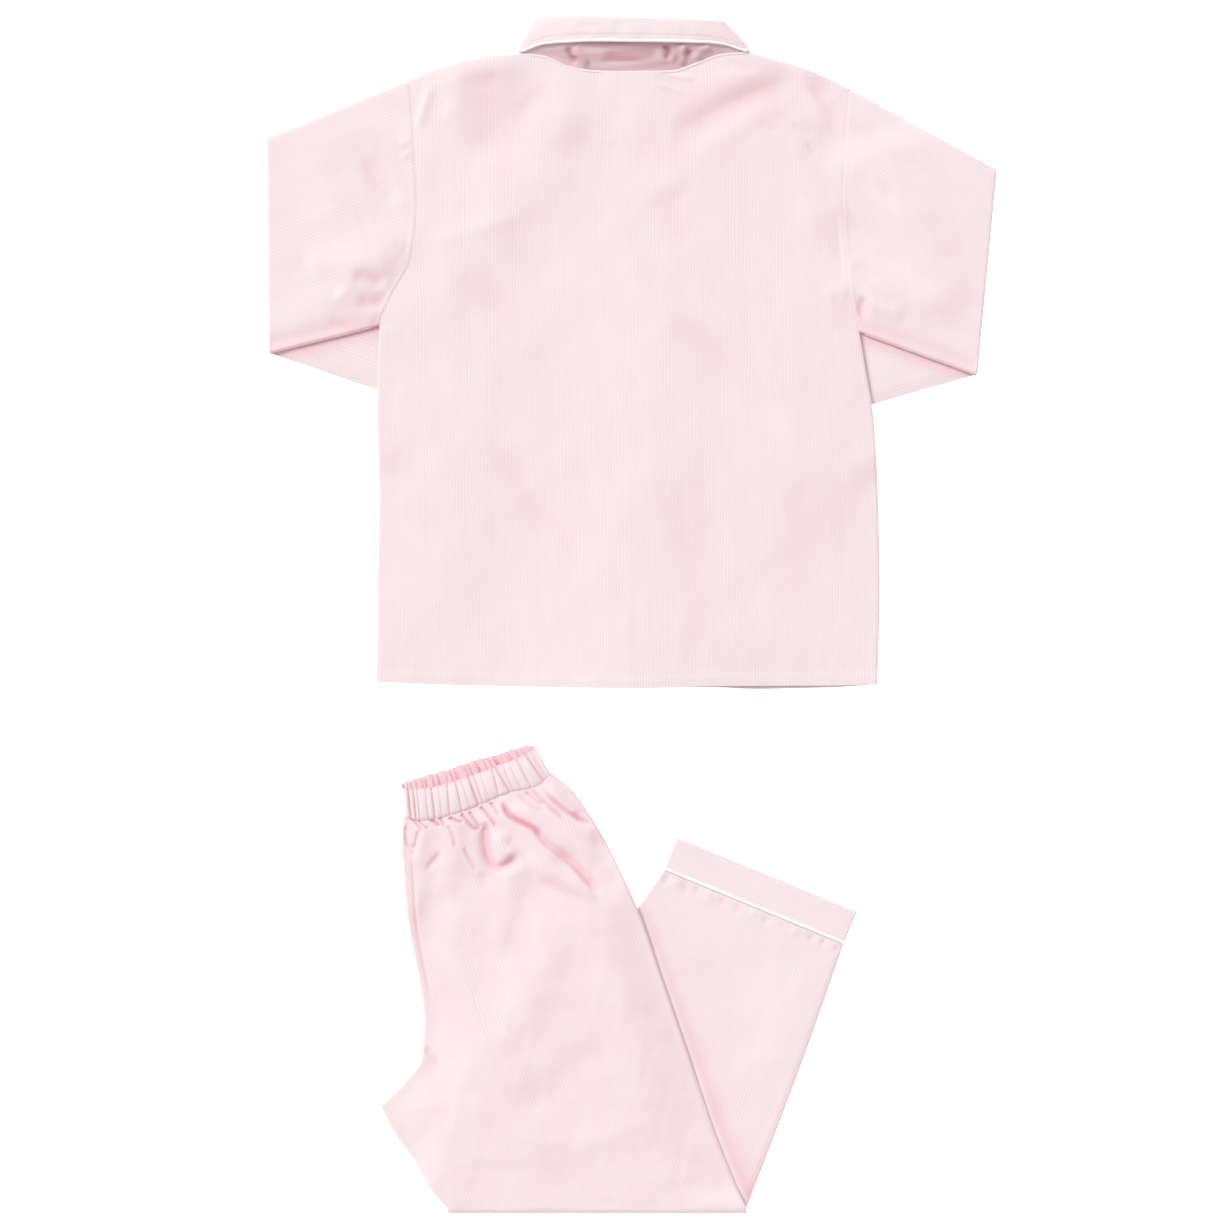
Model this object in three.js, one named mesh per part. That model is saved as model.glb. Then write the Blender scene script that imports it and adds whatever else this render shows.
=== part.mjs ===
// A child's pyjama set laid flat: a jacket, face down with its sleeves folded under it,
// and trousers folded leg on leg and then at the knee.
// Millimetres, +Z up. The origin is on the surface, under the middle of the set.

import * as THREE from "three";

// Cloth and stacking
const WALL = 1.0;
const GAP = 0.3;
const LAYER = WALL + GAP;
const PAIR = 2 * LAYER;
// radii about the middle of a stack of four layers, which is also where a folded sleeve turns
const STACK_MIDDLE = 2 * WALL + 1.5 * GAP;
const OUTER_WALL = { outside: STACK_MIDDLE, inside: STACK_MIDDLE - WALL };
const INNER_WALL = { inside: GAP / 2 + WALL, outside: GAP / 2 };
const INSIDE_FOLD = (OUTER_WALL.inside + INNER_WALL.inside) / 2;
const EDGE_ROUND = 0.5;

// Jacket outline
const BODY_SIDES = [
  { y: -60, left: -204.0, right: 197.0 },
  { y: -28, left: -203.2, right: 197.8 },
  { y: 12, left: -203.0, right: 199.0 },
  { y: 92, left: -201.6, right: 197.6 },
  { y: 156, left: -202.8, right: 193.8 },
  { y: 200, left: -202.6, right: 187.0 },
  { y: 232, left: -200.8, right: 181.2 },
  { y: 257, left: -190.4, right: 174.8 },
  { y: 285, left: -175.8, right: 171.8 },
  { y: 331, left: -171.4, right: 168.8 },
  { y: 378, left: -173.8, right: 170.8 },
  { y: 428, left: -177.6, right: 175.0 },
];
const BODY_HEM = [
  { across: -1.0, back: -53.8, front: -53.4 },
  { across: -0.7, back: -56.2, front: -55.8 },
  { across: 0.05, back: -58.8, front: -58.0 },
  { across: 0.3, back: -57.0, front: -57.8 },
  { across: 0.5, back: -56.8, front: -59.4 },
  { across: 0.8, back: -56.6, front: -58.2 },
  { across: 1.0, back: -55.6, front: -55.6 },
];
// places of the cloth's lines across the body, from side seam to side seam
const ARMHOLE_TO_NECK = 4;
const NECK_LEFT = -0.505;
const NECK_RIGHT = 0.535;
const NECK_LINES = [-0.4, -0.29, -0.18, -0.07, 0.07, 0.18, 0.29, 0.41];
const PLACKET_EDGE = 0.07;
const PLACKET_FOLD_BACK = 0.18;
const PLACKET_ENDS = { low: -70, high: 350 };
// the shoulder and back neck seams: fractions match the lines above
const SHOULDER_AND_NECK = [
  { across: -1.0, y: 427.8 },
  { across: -0.876, y: 436.8 },
  { across: -0.752, y: 442.9 },
  { across: -0.629, y: 446.4 },
  { across: NECK_LEFT, y: 448.6 },
  { across: -0.4, y: 446.4 },
  { across: -0.29, y: 438.2 },
  { across: -0.18, y: 434.6 },
  { across: -0.07, y: 434.0 },
  { across: 0.07, y: 434.0 },
  { across: 0.18, y: 434.4 },
  { across: 0.29, y: 440.2 },
  { across: 0.41, y: 447.6 },
  { across: NECK_RIGHT, y: 449.6 },
  { across: 0.651, y: 443.8 },
  { across: 0.767, y: 438.2 },
  { across: 0.884, y: 430.2 },
  { across: 1.0, y: 420.6 },
];
const ARMPIT_AT = 0.59;
const ROWS_BELOW_ARMPIT = 7;
const ROWS_ABOVE_ARMPIT = 8;
const FRONT_NECK_SLOPE = 1.18;
const HEM_EXTRA = 0.3;
const CENTRE_X = 1.0;

// Sleeves: folded under along a line from top to bottom, the cuff lying under the fronts
const SLEEVES = [
  {
    name: "left_sleeve",
    side: -1,
    foldTop: [-292.0, 381.4],
    foldBottom: [-290.2, 208.8],
    cuffTop: [-52, 282],
    cuffBottom: [-88, 140],
  },
  {
    name: "right_sleeve",
    side: 1,
    foldTop: [292.8, 357.0],
    foldBottom: [277.0, 191.4],
    cuffTop: [52, 279],
    cuffBottom: [88, 138],
  },
];
const SLEEVE_WIDTH = 165;
const SLEEVE_STEPS = 4;
const FOREARM_STEPS = 5;
const FOLD_STEPS = 4;
// past the edge of what lies under them, the layers above stay level and then fall to the surface
const UNDERLAY_MARGIN = 36;
const UNDERLAY_FALL = 28;
const PLACKET_MARGIN = 6;
const PLACKET_FALL = 24;

// Collar: a band that stands up from the neck seam, folds over and ends in a piped edge
const COLLAR_FOLD_LINE = { left: -73.5, right: 71.5, y: 477.0, rise: 1.5 };
const STAND_WIDTH_AT_SIDE = 34;
const STAND_LAP_AT_SEAM = 0.4;
const STAND_LAP_UNDER_FRONT = -3;
const COLLAR_HOVER = 6.5;
const LEAF_OVER_STAND = 1.95;
const LEAF_DEPTH = 19;
const LEAF_REACH_AT_SIDE = 4;
const FRONT_LEAF_BEYOND_SEAM = 8;
const FRONT_COLLAR_LENGTH = 92;
const FRONT_COLLAR_STEPS = 3;
const COLLAR_FOLD_STEPS = 5;
const PIPING_WIDTH = 2.6;
const PIPING_HEIGHT = 2.2;
const PIPING_HEIGHT_AT_SIDE = 1.6;
const PIPING_SIDES = 8;
const PIPING_FROM_EDGE = 0.4 + PIPING_WIDTH / 2;

// Buttons: sewn under the placket, between it and the surface
const BUTTON_ROWS_Y = [322, 234, 146, 58];
const BUTTON = { radius: 5.75, rimRadius: 4.6, height: 2.2, dish: 0.5, edge: 0.5 };
const BUTTON_SIDES = 20;

// Trousers: a stack of four layers, folded under at the knee
const KNEE_Y = -478.6;
const LEG_STACK = 4 * WALL + 3 * GAP;
const KNEE_RADIUS = LEG_STACK + GAP / 2;
const KNEE_ROW_Y = KNEE_Y + KNEE_RADIUS;
const LIFT = LEG_STACK + GAP;
const LEG_COLUMNS = 16;

// Rows of the upper half, each from the seat and inseam edge to the outer edge
const LEG_ROWS = [
  { left: [-181.6, -161.4], right: [-62.8, -127.0] },
  { left: [-182.6, -174.0], right: [-47.0, -140.4] },
  { left: [-183.4, -188.0], right: [-33.6, -159.0] },
  { left: [-181.6, -204.0], right: [-19.6, -182.4] },
  { left: [-180.8, -220.0], right: [-8.0, -205.6] },
  { left: [-177.2, -252.0], right: [8.6, -243.0] },
  { left: [-171.0, -283.0], right: [22.0, -282.0] },
  { left: [-165.6, -322.0], right: [33.8, -316.0] },
  { left: [-167.2, -352.0], right: [44.8, -348.0] },
  { left: [-182.4, -374.6], right: [54.0, -376.0] },
  { left: [-200.4, -392.2], right: [61.2, -398.0] },
  { left: [-190.4, -412.0], right: [68.4, -418.0] },
  { left: [-173.6, -436.0], right: [77.6, -441.0] },
  { left: [-159.2, -460.0], right: [86.2, -461.0] },
  { left: [-147.0, KNEE_ROW_Y], right: [92.4, KNEE_ROW_Y] },
];
const LOWER_LEFT = { knee: [-147.0, KNEE_ROW_Y], piping: [25.6, -204.0], bow: -3.0 };
const LOWER_RIGHT = { knee: [92.4, KNEE_ROW_Y], piping: [169.8, -263.6], bow: 1.5 };
const LOWER_STEPS = 4;
const KNEE_STEPS = 5;
const LIFT_MARGIN = 17;
const LIFT_RAMP = 34;
const HIDDEN_INSET = 1.2;
const LAYER_GROOVE = { depth: 2.5, height: 0.3 };
const LEG_WIDTH = 210;
const HEM_BAND = 25.3;
const HEM_PIPING = 2.6;
const HEM_PIPING_PROUD = 0.6;

// Waistband: the casing's seam, the edge of its near layer and the edge of the layers beyond it
const WAISTBAND = [
  { along: 0.0, seam: [-181.6, -161.0], near: [-184.0, -138.6], far: [-183.2, -134.6] },
  { along: 0.125, seam: [-167.2, -163.4], near: [-171.2, -138.6], far: [-171.2, -131.0] },
  { along: 0.25, seam: [-152.0, -161.0], near: [-157.6, -137.4], far: [-159.2, -127.4] },
  { along: 0.375, seam: [-136.8, -156.9], near: [-144.0, -133.4], far: [-147.2, -124.2] },
  { along: 0.5, seam: [-121.6, -151.0], near: [-131.2, -129.4], far: [-134.4, -119.8] },
  { along: 0.625, seam: [-106.8, -144.7], near: [-118.4, -125.0], far: [-122.4, -115.8] },
  { along: 0.75, seam: [-92.0, -140.0], near: [-105.6, -119.8], far: [-109.6, -112.6] },
  { along: 0.875, seam: [-77.2, -137.0], near: [-90.4, -114.2], far: [-94.4, -107.8] },
  { along: 1.0, seam: [-62.8, -127.0], near: [-75.2, -105.0], far: [-77.6, -103.8] },
];
const GATHERS = 18;
const POINTS_A_GATHER = 4;
const GATHER_FIRST = 0.03;
const GATHER_LAST = 0.86;
const GATHER_HEIGHT = { near: 1.9, far: 1.1 };
const BAND_LAYERS = { near: 2.15, far: 0.65, hidden: -0.65, bottom: -1.95 };
const BAND_STEPS = 2;

// Soft folds: ridges that stand above the cloth round them, from one place to another
const JACKET_FOLDS = [
  { from: [-150, 420], to: [-60, 395], width: 26, height: 1.6 },
  { from: [-60, 400], to: [-150, 250], width: 34, height: 2.0 },
  { from: [90, 415], to: [150, 330], width: 28, height: 1.8 },
  { from: [60, 380], to: [20, 120], width: 44, height: 1.6 },
  { from: [-110, 200], to: [-150, 20], width: 46, height: 1.6 },
  { from: [130, 240], to: [120, 0], width: 46, height: 1.8 },
  { from: [-20, 60], to: [60, -30], width: 38, height: 1.2 },
  { from: [-200, 250], to: [-262, 392], width: 26, height: 2.2 },
  { from: [-186, 300], to: [-262, 240], width: 17, height: 2.0 },
  { from: [182, 262], to: [250, 250], width: 17, height: 2.0 },
  { from: [186, 400], to: [246, 270], width: 26, height: 2.2 },
];
const TROUSER_FOLDS = [
  { from: [-98, -158], to: [-62, -186], width: 10, height: 3.4 },
  { from: [-112, -163], to: [-92, -200], width: 10, height: 2.8 },
  { from: [-68, -142], to: [-34, -172], width: 9, height: 3.0 },
  { from: [-138, -168], to: [-146, -212], width: 10, height: 2.4 },
  { from: [-166, -172], to: [-170, -230], width: 9, height: 1.8 },
  { from: [-90, -206], to: [-60, -300], width: 26, height: 1.8 },
  { from: [-40, -230], to: [10, -360], width: 30, height: 2.0 },
  { from: [-150, -300], to: [-90, -380], width: 24, height: 1.8 },
  { from: [-165, -392], to: [-80, -420], width: 22, height: 2.0 },
];
const FOLDS_AT_WAIST = 0.5;

// Colours from the photo
const CLOTH = { color: 0xf6e0e4, roughness: 0.9, metalness: 0.0 };
const CLOTH_INSIDE = { color: 0xefd0d6, roughness: 0.92, metalness: 0.0 };
const PIPING_FINISH = { color: 0xfaf6f6, roughness: 0.75, metalness: 0.0 };
const BUTTON_FINISH = { color: 0xf4eef0, roughness: 0.35, metalness: 0.0 };

// Tables and curves

const mix = THREE.MathUtils.lerp;
const mixPoints = (a, b, t) => [mix(a[0], b[0], t), mix(a[1], b[1], t)];
const fractions = (steps) => Array.from({ length: steps + 1 }, (_, i) => i / steps);

// The row of a table at or before a place along its key column, and how far the place is past it.
function findRow(table, key, at) {
  let row = 0;
  while (row < table.length - 2 && at > table[row + 1][key]) {
    row += 1;
  }
  const span = table[row + 1][key] - table[row][key];
  return { row, t: THREE.MathUtils.clamp((at - table[row][key]) / span, 0, 1) };
}

function readTable(table, key, column, at) {
  const { row, t } = findRow(table, key, at);
  return mix(table[row][column], table[row + 1][column], t);
}

function readPoint(table, key, column, at) {
  const { row, t } = findRow(table, key, at);
  return mixPoints(table[row][column], table[row + 1][column], t);
}

function distanceToLine(x, y, from, to) {
  const run = [to[0] - from[0], to[1] - from[1]];
  const along = ((x - from[0]) * run[0] + (y - from[1]) * run[1]) / (run[0] ** 2 + run[1] ** 2);
  const t = THREE.MathUtils.clamp(along, 0, 1);
  return Math.hypot(x - from[0] - t * run[0], y - from[1] - t * run[1]);
}

function foldHeight(folds, x, y) {
  let height = 0;
  for (const fold of folds) {
    const distance = distanceToLine(x, y, fold.from, fold.to) / fold.width;
    height += fold.height * Math.exp(-distance * distance);
  }
  return height;
}

// Closed meshes

// Makes a closed mesh whose faces point outwards, whichever way round they were listed.
function closedMesh(points, triangles) {
  let volume = 0;
  for (const [a, b, c] of triangles) {
    volume += points[a].dot(new THREE.Vector3().crossVectors(points[b], points[c]));
  }
  const outward = volume > 0 ? triangles : triangles.map(([a, b, c]) => [a, c, b]);
  const geometry = new THREE.BufferGeometry();
  geometry.setFromPoints(points);
  geometry.setIndex(outward.flat());
  geometry.computeVertexNormals();
  return geometry;
}

function quad(triangles, a, b, c, d) {
  triangles.push([a, b, c], [a, c, d]);
}

// A quad of a loop; past the loop's turn its points run the other way, and so does its diagonal,
// which keeps two faces that lie on each other parallel.
function loopQuad(triangles, a, b, c, d, forwards) {
  if (forwards) {
    quad(triangles, a, b, c, d);
  } else {
    quad(triangles, b, c, d, a);
  }
}

// A sheet of cloth with thickness: over(i, j) and under(i, j) give its two faces.
function sheet(rows, columns, over, under) {
  const points = [];
  const triangles = [];
  for (const face of [over, under]) {
    for (let i = 0; i <= rows; i += 1) {
      for (let j = 0; j <= columns; j += 1) {
        points.push(face(i, j));
      }
    }
  }
  const half = (rows + 1) * (columns + 1);
  const at = (i, j) => i * (columns + 1) + j;
  for (let i = 0; i < rows; i += 1) {
    for (let j = 0; j < columns; j += 1) {
      quad(triangles, at(i, j), at(i, j + 1), at(i + 1, j + 1), at(i + 1, j));
      quad(triangles, half + at(i, j), half + at(i + 1, j), half + at(i + 1, j + 1), half + at(i, j + 1));
    }
  }
  for (let i = 0; i < rows; i += 1) {
    quad(triangles, at(i, 0), at(i + 1, 0), half + at(i + 1, 0), half + at(i, 0));
    quad(triangles, at(i + 1, columns), at(i, columns), half + at(i, columns), half + at(i + 1, columns));
  }
  for (let j = 0; j < columns; j += 1) {
    quad(triangles, at(0, j + 1), at(0, j), half + at(0, j), half + at(0, j + 1));
    quad(triangles, at(rows, j), at(rows, j + 1), half + at(rows, j + 1), half + at(rows, j));
  }
  return closedMesh(points, triangles);
}

// A tube of cloth, open at both ends: each ring is a closed loop of points on a face, which
// runs across the tube and turns back at one of its points.
function tube(outerRings, innerRings, turn) {
  const around = outerRings[0].length;
  const rings = outerRings.length;
  const points = [...outerRings.flat(), ...innerRings.flat()];
  const triangles = [];
  const half = rings * around;
  const at = (ring, k) => ring * around + (k % around);
  for (let ring = 0; ring < rings - 1; ring += 1) {
    for (let k = 0; k < around; k += 1) {
      const [a, b, c, d] = [at(ring, k), at(ring, k + 1), at(ring + 1, k + 1), at(ring + 1, k)];
      const forwards = k < turn;
      loopQuad(triangles, a, b, c, d, forwards);
      loopQuad(triangles, half + d, half + c, half + b, half + a, !forwards);
    }
  }
  const last = rings - 1;
  for (let k = 0; k < around; k += 1) {
    quad(triangles, at(0, k + 1), at(0, k), half + at(0, k), half + at(0, k + 1));
    quad(triangles, at(last, k), at(last, k + 1), half + at(last, k + 1), half + at(last, k));
  }
  return closedMesh(points, triangles);
}

// A solid through closed sections; ends lists the flat pieces that close a section, as its points' numbers.
function loft(sections, ends, turn) {
  const around = sections[0].length;
  const points = sections.flat();
  const triangles = [];
  const at = (section, k) => section * around + (k % around);
  for (let section = 0; section < sections.length - 1; section += 1) {
    for (let k = 0; k < around; k += 1) {
      const [a, b, c, d] = [at(section, k), at(section, k + 1), at(section + 1, k + 1), at(section + 1, k)];
      loopQuad(triangles, a, b, c, d, k < turn);
    }
  }
  for (const section of [0, sections.length - 1]) {
    for (const piece of ends) {
      const flat = piece.map((k) => inPlane(sections[section], sections[section][k]));
      const sameWay = THREE.ShapeUtils.area(flat) > 0;
      for (const face of THREE.ShapeUtils.triangulateShape(flat, [])) {
        const [a, b, c] = face.map((k) => at(section, piece[k]));
        const along = THREE.ShapeUtils.area(face.map((k) => flat[k])) > 0 === sameWay;
        triangles.push(along === section > 0 ? [a, b, c] : [a, c, b]);
      }
    }
  }
  return closedMesh(points, triangles);
}

// A point of an upright section as its distance along the section and its height.
function inPlane(section, point) {
  const middle = section[Math.floor(section.length / 3)];
  const run = new THREE.Vector2(middle.x - section[0].x, middle.y - section[0].y).normalize();
  return new THREE.Vector2((point.x - section[0].x) * run.x + (point.y - section[0].y) * run.y, point.z);
}

function cloth(name, geometry, finish) {
  const mesh = new THREE.Mesh(geometry, new THREE.MeshStandardMaterial(finish));
  mesh.name = name;
  return mesh;
}

// Jacket body

const shoulderLines = fractions(ARMHOLE_TO_NECK);
const BODY_LINES = [
  ...shoulderLines.map((t) => mix(-1, NECK_LEFT, t)),
  ...NECK_LINES,
  ...shoulderLines.map((t) => mix(NECK_RIGHT, 1, t)),
];
const BODY_ROWS = [
  ...fractions(ROWS_BELOW_ARMPIT).map((t) => t * ARMPIT_AT),
  ...fractions(ROWS_ABOVE_ARMPIT).slice(1).map((t) => mix(ARMPIT_AT, 1, t)),
];

function bodyX(across, y) {
  return mix(CENTRE_X, readTable(BODY_SIDES, "y", across < 0 ? "left" : "right", y), Math.abs(across));
}

function backPoint(across, up) {
  const hem = readTable(BODY_HEM, "across", "back", across);
  const top = readTable(SHOULDER_AND_NECK, "across", "y", across);
  const y = mix(hem, top, up);
  return [bodyX(across, y), y];
}

// The back neck's two ends, where the collar turns to the front.
const NECK_ENDS = [
  { side: -1, at: backPoint(NECK_LEFT, 1) },
  { side: 1, at: backPoint(NECK_RIGHT, 1) },
];

// The front follows the shoulder, then its neckline falls straight to the top of the placket.
function frontTop(across) {
  const top = readTable(SHOULDER_AND_NECK, "across", "y", across);
  if (across <= NECK_LEFT || across >= NECK_RIGHT) {
    return top;
  }
  const inside = Math.max(Math.abs(across), PLACKET_EDGE) * Math.sign(across);
  const x = bodyX(inside, top);
  const end = NECK_ENDS[across < 0 ? 0 : 1].at;
  return end[1] - FRONT_NECK_SLOPE * Math.abs(x - end[0]);
}

function frontPoint(across, up) {
  const hem = readTable(BODY_HEM, "across", "front", across);
  const y = mix(hem, frontTop(across), up);
  return [bodyX(across, y), y];
}

// What lies under the fronts and the upper sleeves: forearms, the collar's front ends and the buttons.
function collarDirection(side) {
  const run = Math.hypot(1, FRONT_NECK_SLOPE);
  return {
    along: [-side / run, -FRONT_NECK_SLOPE / run],
    toFold: [(-side * FRONT_NECK_SLOPE) / run, 1 / run],
  };
}

function collarFrontRegion({ side, at }) {
  const { along, toFold } = collarDirection(side);
  const corner = (s, w) => [at[0] + along[0] * s + toFold[0] * w, at[1] + along[1] * s + toFold[1] * w];
  const edge = -FRONT_LEAF_BEYOND_SEAM - PIPING_WIDTH;
  return [
    corner(0, edge),
    corner(FRONT_COLLAR_LENGTH, edge),
    corner(FRONT_COLLAR_LENGTH, STAND_WIDTH_AT_SIDE),
    corner(0, STAND_WIDTH_AT_SIDE),
  ];
}

function buttonStrip() {
  const half = BUTTON.radius + 3;
  const { low, high } = PLACKET_ENDS;
  return [[CENTRE_X - half, low], [CENTRE_X + half, low], [CENTRE_X + half, high], [CENTRE_X - half, high]];
}

const UNDERLAY = [
  ...SLEEVES.map((sleeve) => ({
    corners: [sleeve.foldTop, sleeve.foldBottom, sleeve.cuffBottom, sleeve.cuffTop],
    margin: UNDERLAY_MARGIN,
    fall: UNDERLAY_FALL,
  })),
  ...NECK_ENDS.map((end) => ({
    corners: collarFrontRegion(end),
    margin: UNDERLAY_MARGIN,
    fall: UNDERLAY_FALL,
  })),
  { corners: buttonStrip(), margin: PLACKET_MARGIN, fall: PLACKET_FALL },
];

// How far a place lies outside a convex outline.
function outsideBy(x, y, corners) {
  let turning = 0;
  let distance = Infinity;
  let inside = true;
  for (let k = 0; k < corners.length; k += 1) {
    const a = corners[k];
    const b = corners[(k + 1) % corners.length];
    const cross = (b[0] - a[0]) * (y - a[1]) - (b[1] - a[1]) * (x - a[0]);
    if (turning !== 0 && cross * turning < 0) {
      inside = false;
    }
    turning = turning || cross;
    distance = Math.min(distance, distanceToLine(x, y, a, b));
  }
  return inside ? 0 : distance;
}

function underlayHeight(x, y) {
  let cover = 0;
  for (const { corners, margin, fall } of UNDERLAY) {
    const past = outsideBy(x, y, corners) - margin;
    cover = Math.max(cover, 1 - THREE.MathUtils.smoothstep(past, 0, fall));
  }
  return PAIR * cover;
}

// The left front laps over the right one at the placket, so all above it is a layer higher there.
function lapHeight(across) {
  return LAYER * (1 - THREE.MathUtils.smoothstep(Math.abs(across), PLACKET_EDGE, PLACKET_FOLD_BACK));
}

function bodyPanel(name, lines, place, base, folds) {
  const face = (upper) => (i, j) => {
    const across = lines[j];
    const [x, y] = place(across, BODY_ROWS[i]);
    const soft = folds ? foldHeight(JACKET_FOLDS, x, y) : 0;
    const z = underlayHeight(x, y) + base(across) + soft;
    const hem = folds && i === 0 ? HEM_EXTRA : 0;
    return new THREE.Vector3(x, y, upper ? z + WALL + hem : z);
  };
  return cloth(name, sheet(BODY_ROWS.length - 1, lines.length - 1, face(true), face(false)), CLOTH);
}

function makeBody() {
  const leftLines = BODY_LINES.filter((across) => across <= PLACKET_EDGE);
  const rightLines = BODY_LINES.filter((across) => across >= -PLACKET_EDGE);
  const onLeft = (across) => lapHeight(across);
  return [
    bodyPanel("back_panel", BODY_LINES, backPoint, (across) => LAYER + lapHeight(across), true),
    bodyPanel("left_front", leftLines, frontPoint, onLeft, false),
    bodyPanel("right_front", rightLines, frontPoint, () => 0, false),
  ];
}

// Sleeves

// The body's side edge from the armpit up, which is where the sleeve is set in.
function armholePoints(side) {
  const rows = BODY_ROWS.slice(ROWS_BELOW_ARMPIT);
  return rows.map((up) => {
    const [x, y] = backPoint(side, up);
    return [x + side * GAP, y];
  });
}

function makeSleeve(sleeve) {
  const armhole = armholePoints(sleeve.side);
  const chain = fractions(armhole.length - 1);
  const { foldTop, foldBottom } = sleeve;
  const fold = new THREE.Vector2(foldTop[0] - foldBottom[0], foldTop[1] - foldBottom[1]).normalize();
  const outward = [sleeve.side * Math.abs(fold.y), -sleeve.side * fold.x * Math.sign(fold.y)];
  const foldPoint = (t, reach) => {
    const [x, y] = mixPoints(sleeve.foldBottom, sleeve.foldTop, t);
    return [x + outward[0] * reach, y + outward[1] * reach];
  };
  // one station: a point on the cloth at a place along its width and at a radius about the fold
  const stations = [];
  for (const t of fractions(SLEEVE_STEPS)) {
    stations.push((v, r) => {
      const k = v * (armhole.length - 1);
      const low = Math.min(Math.floor(k), armhole.length - 2);
      const start = mixPoints(armhole[low], armhole[low + 1], k - low);
      const [x, y] = mixPoints(start, foldPoint(v, -STACK_MIDDLE), t);
      const inside = Math.sqrt(Math.sin(Math.PI * THREE.MathUtils.clamp(v, 0, 1)));
      const soft = r > INSIDE_FOLD ? foldHeight(JACKET_FOLDS, x, y) * inside : 0;
      return new THREE.Vector3(x, y, underlayHeight(x, y) + r - GAP / 2 + soft * (1 - t ** 4));
    });
  }
  for (const t of fractions(FOLD_STEPS).slice(1, -1)) {
    const angle = Math.PI * (0.5 - t);
    stations.push((v, r) => {
      const [x, y] = foldPoint(v, r * Math.cos(angle) - STACK_MIDDLE);
      return new THREE.Vector3(x, y, STACK_MIDDLE + r * Math.sin(angle));
    });
  }
  for (const t of fractions(FOREARM_STEPS)) {
    stations.push((v, r) => {
      const cuff = mixPoints(sleeve.cuffBottom, sleeve.cuffTop, v);
      const [x, y] = mixPoints(foldPoint(v, -STACK_MIDDLE), cuff, t);
      return new THREE.Vector3(x, y, STACK_MIDDLE - r);
    });
  }
  // the wall's two faces round the tube; a point at either end of a chain is drawn in along the width
  const drawn = (k, inset) => THREE.MathUtils.clamp(chain[k], inset / SLEEVE_WIDTH, 1 - inset / SLEEVE_WIDTH);
  const last = chain.length - 1;
  const ring = (station, upper, lower, inset, edgeInset) => [
    ...chain.map((_, k) => station(drawn(k, inset), upper)),
    station(drawn(last, edgeInset), INSIDE_FOLD),
    ...chain.map((_, k) => station(drawn(last - k, inset), lower)),
    station(drawn(0, edgeInset), INSIDE_FOLD),
  ];
  const outer = stations.map((s) => ring(s, OUTER_WALL.outside, INNER_WALL.outside, EDGE_ROUND, 0));
  const inner = stations.map((s) => ring(s, OUTER_WALL.inside, INNER_WALL.inside, WALL + EDGE_ROUND, WALL));
  return cloth(sleeve.name, tube(outer, inner, chain.length), CLOTH);
}

// Collar

// Stations along the neck: where the seam is, which way the fold lies, which way the cloth faces,
// how far the fold and the leaf's edge are from the seam, and the radii of stand and leaf.
function collarStations() {
  const left = [];
  const right = [];
  for (const { side, at } of NECK_ENDS) {
    const stations = side < 0 ? left : right;
    const foldEnd = [side < 0 ? COLLAR_FOLD_LINE.left : COLLAR_FOLD_LINE.right, COLLAR_FOLD_LINE.y];
    const length = Math.hypot(foldEnd[0] - at[0], foldEnd[1] - at[1]);
    const crease = [(foldEnd[0] - at[0]) / length, (foldEnd[1] - at[1]) / length];
    const outward = [side * crease[1], -side * crease[0]];
    const { along, toFold } = collarDirection(side);
    for (const t of fractions(FOLD_STEPS).slice(1)) {
      const angle = Math.PI * (0.5 - t);
      stations.push({
        seam: [at[0], at[1]],
        toFold: crease,
        out: [outward[0] * Math.cos(angle), outward[1] * Math.cos(angle), Math.sin(angle)],
        length,
        edge: LEAF_REACH_AT_SIDE,
        lap: STAND_LAP_AT_SEAM,
        stand: mix(STACK_MIDDLE - WALL / 2, GAP / 2 + WALL / 2, t),
        leaf: mix(STACK_MIDDLE - WALL / 2 + LEAF_OVER_STAND, STACK_MIDDLE - WALL / 2, t),
        pipingHeight: mix(PIPING_HEIGHT_AT_SIDE, WALL, t),
      });
    }
    for (const t of fractions(FRONT_COLLAR_STEPS).slice(1)) {
      const run = t * FRONT_COLLAR_LENGTH;
      stations.push({
        seam: [at[0] + along[0] * run, at[1] + along[1] * run],
        toFold,
        out: [0, 0, -1],
        length,
        edge: mix(LEAF_REACH_AT_SIDE, -FRONT_LEAF_BEYOND_SEAM, t),
        lap: STAND_LAP_UNDER_FRONT * t,
        stand: GAP / 2 + WALL / 2,
        leaf: STACK_MIDDLE - WALL / 2,
        pipingHeight: WALL,
      });
    }
  }
  const neck = [NECK_LEFT, ...NECK_LINES, NECK_RIGHT];
  const back = neck.map((across, k) => {
    const t = k / (neck.length - 1);
    const seam = backPoint(across, 1);
    const middle = 1 - (2 * t - 1) ** 4;
    const fold = [
      mix(COLLAR_FOLD_LINE.left, COLLAR_FOLD_LINE.right, t),
      COLLAR_FOLD_LINE.y + COLLAR_FOLD_LINE.rise * middle * (1 - t),
    ];
    const length = Math.hypot(fold[0] - seam[0], fold[1] - seam[1]);
    return {
      seam,
      toFold: [(fold[0] - seam[0]) / length, (fold[1] - seam[1]) / length],
      out: [0, 0, 1],
      length,
      edge: mix(LEAF_REACH_AT_SIDE, length - LEAF_DEPTH, Math.sqrt(Math.max(middle, 0))),
      lap: STAND_LAP_AT_SEAM,
      stand: STACK_MIDDLE - WALL / 2,
      leaf: STACK_MIDDLE - WALL / 2 + LEAF_OVER_STAND + COLLAR_HOVER * middle,
      pipingHeight: mix(PIPING_HEIGHT_AT_SIDE, PIPING_HEIGHT, middle),
    };
  });
  return [...left.reverse(), ...back, ...right];
}

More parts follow.
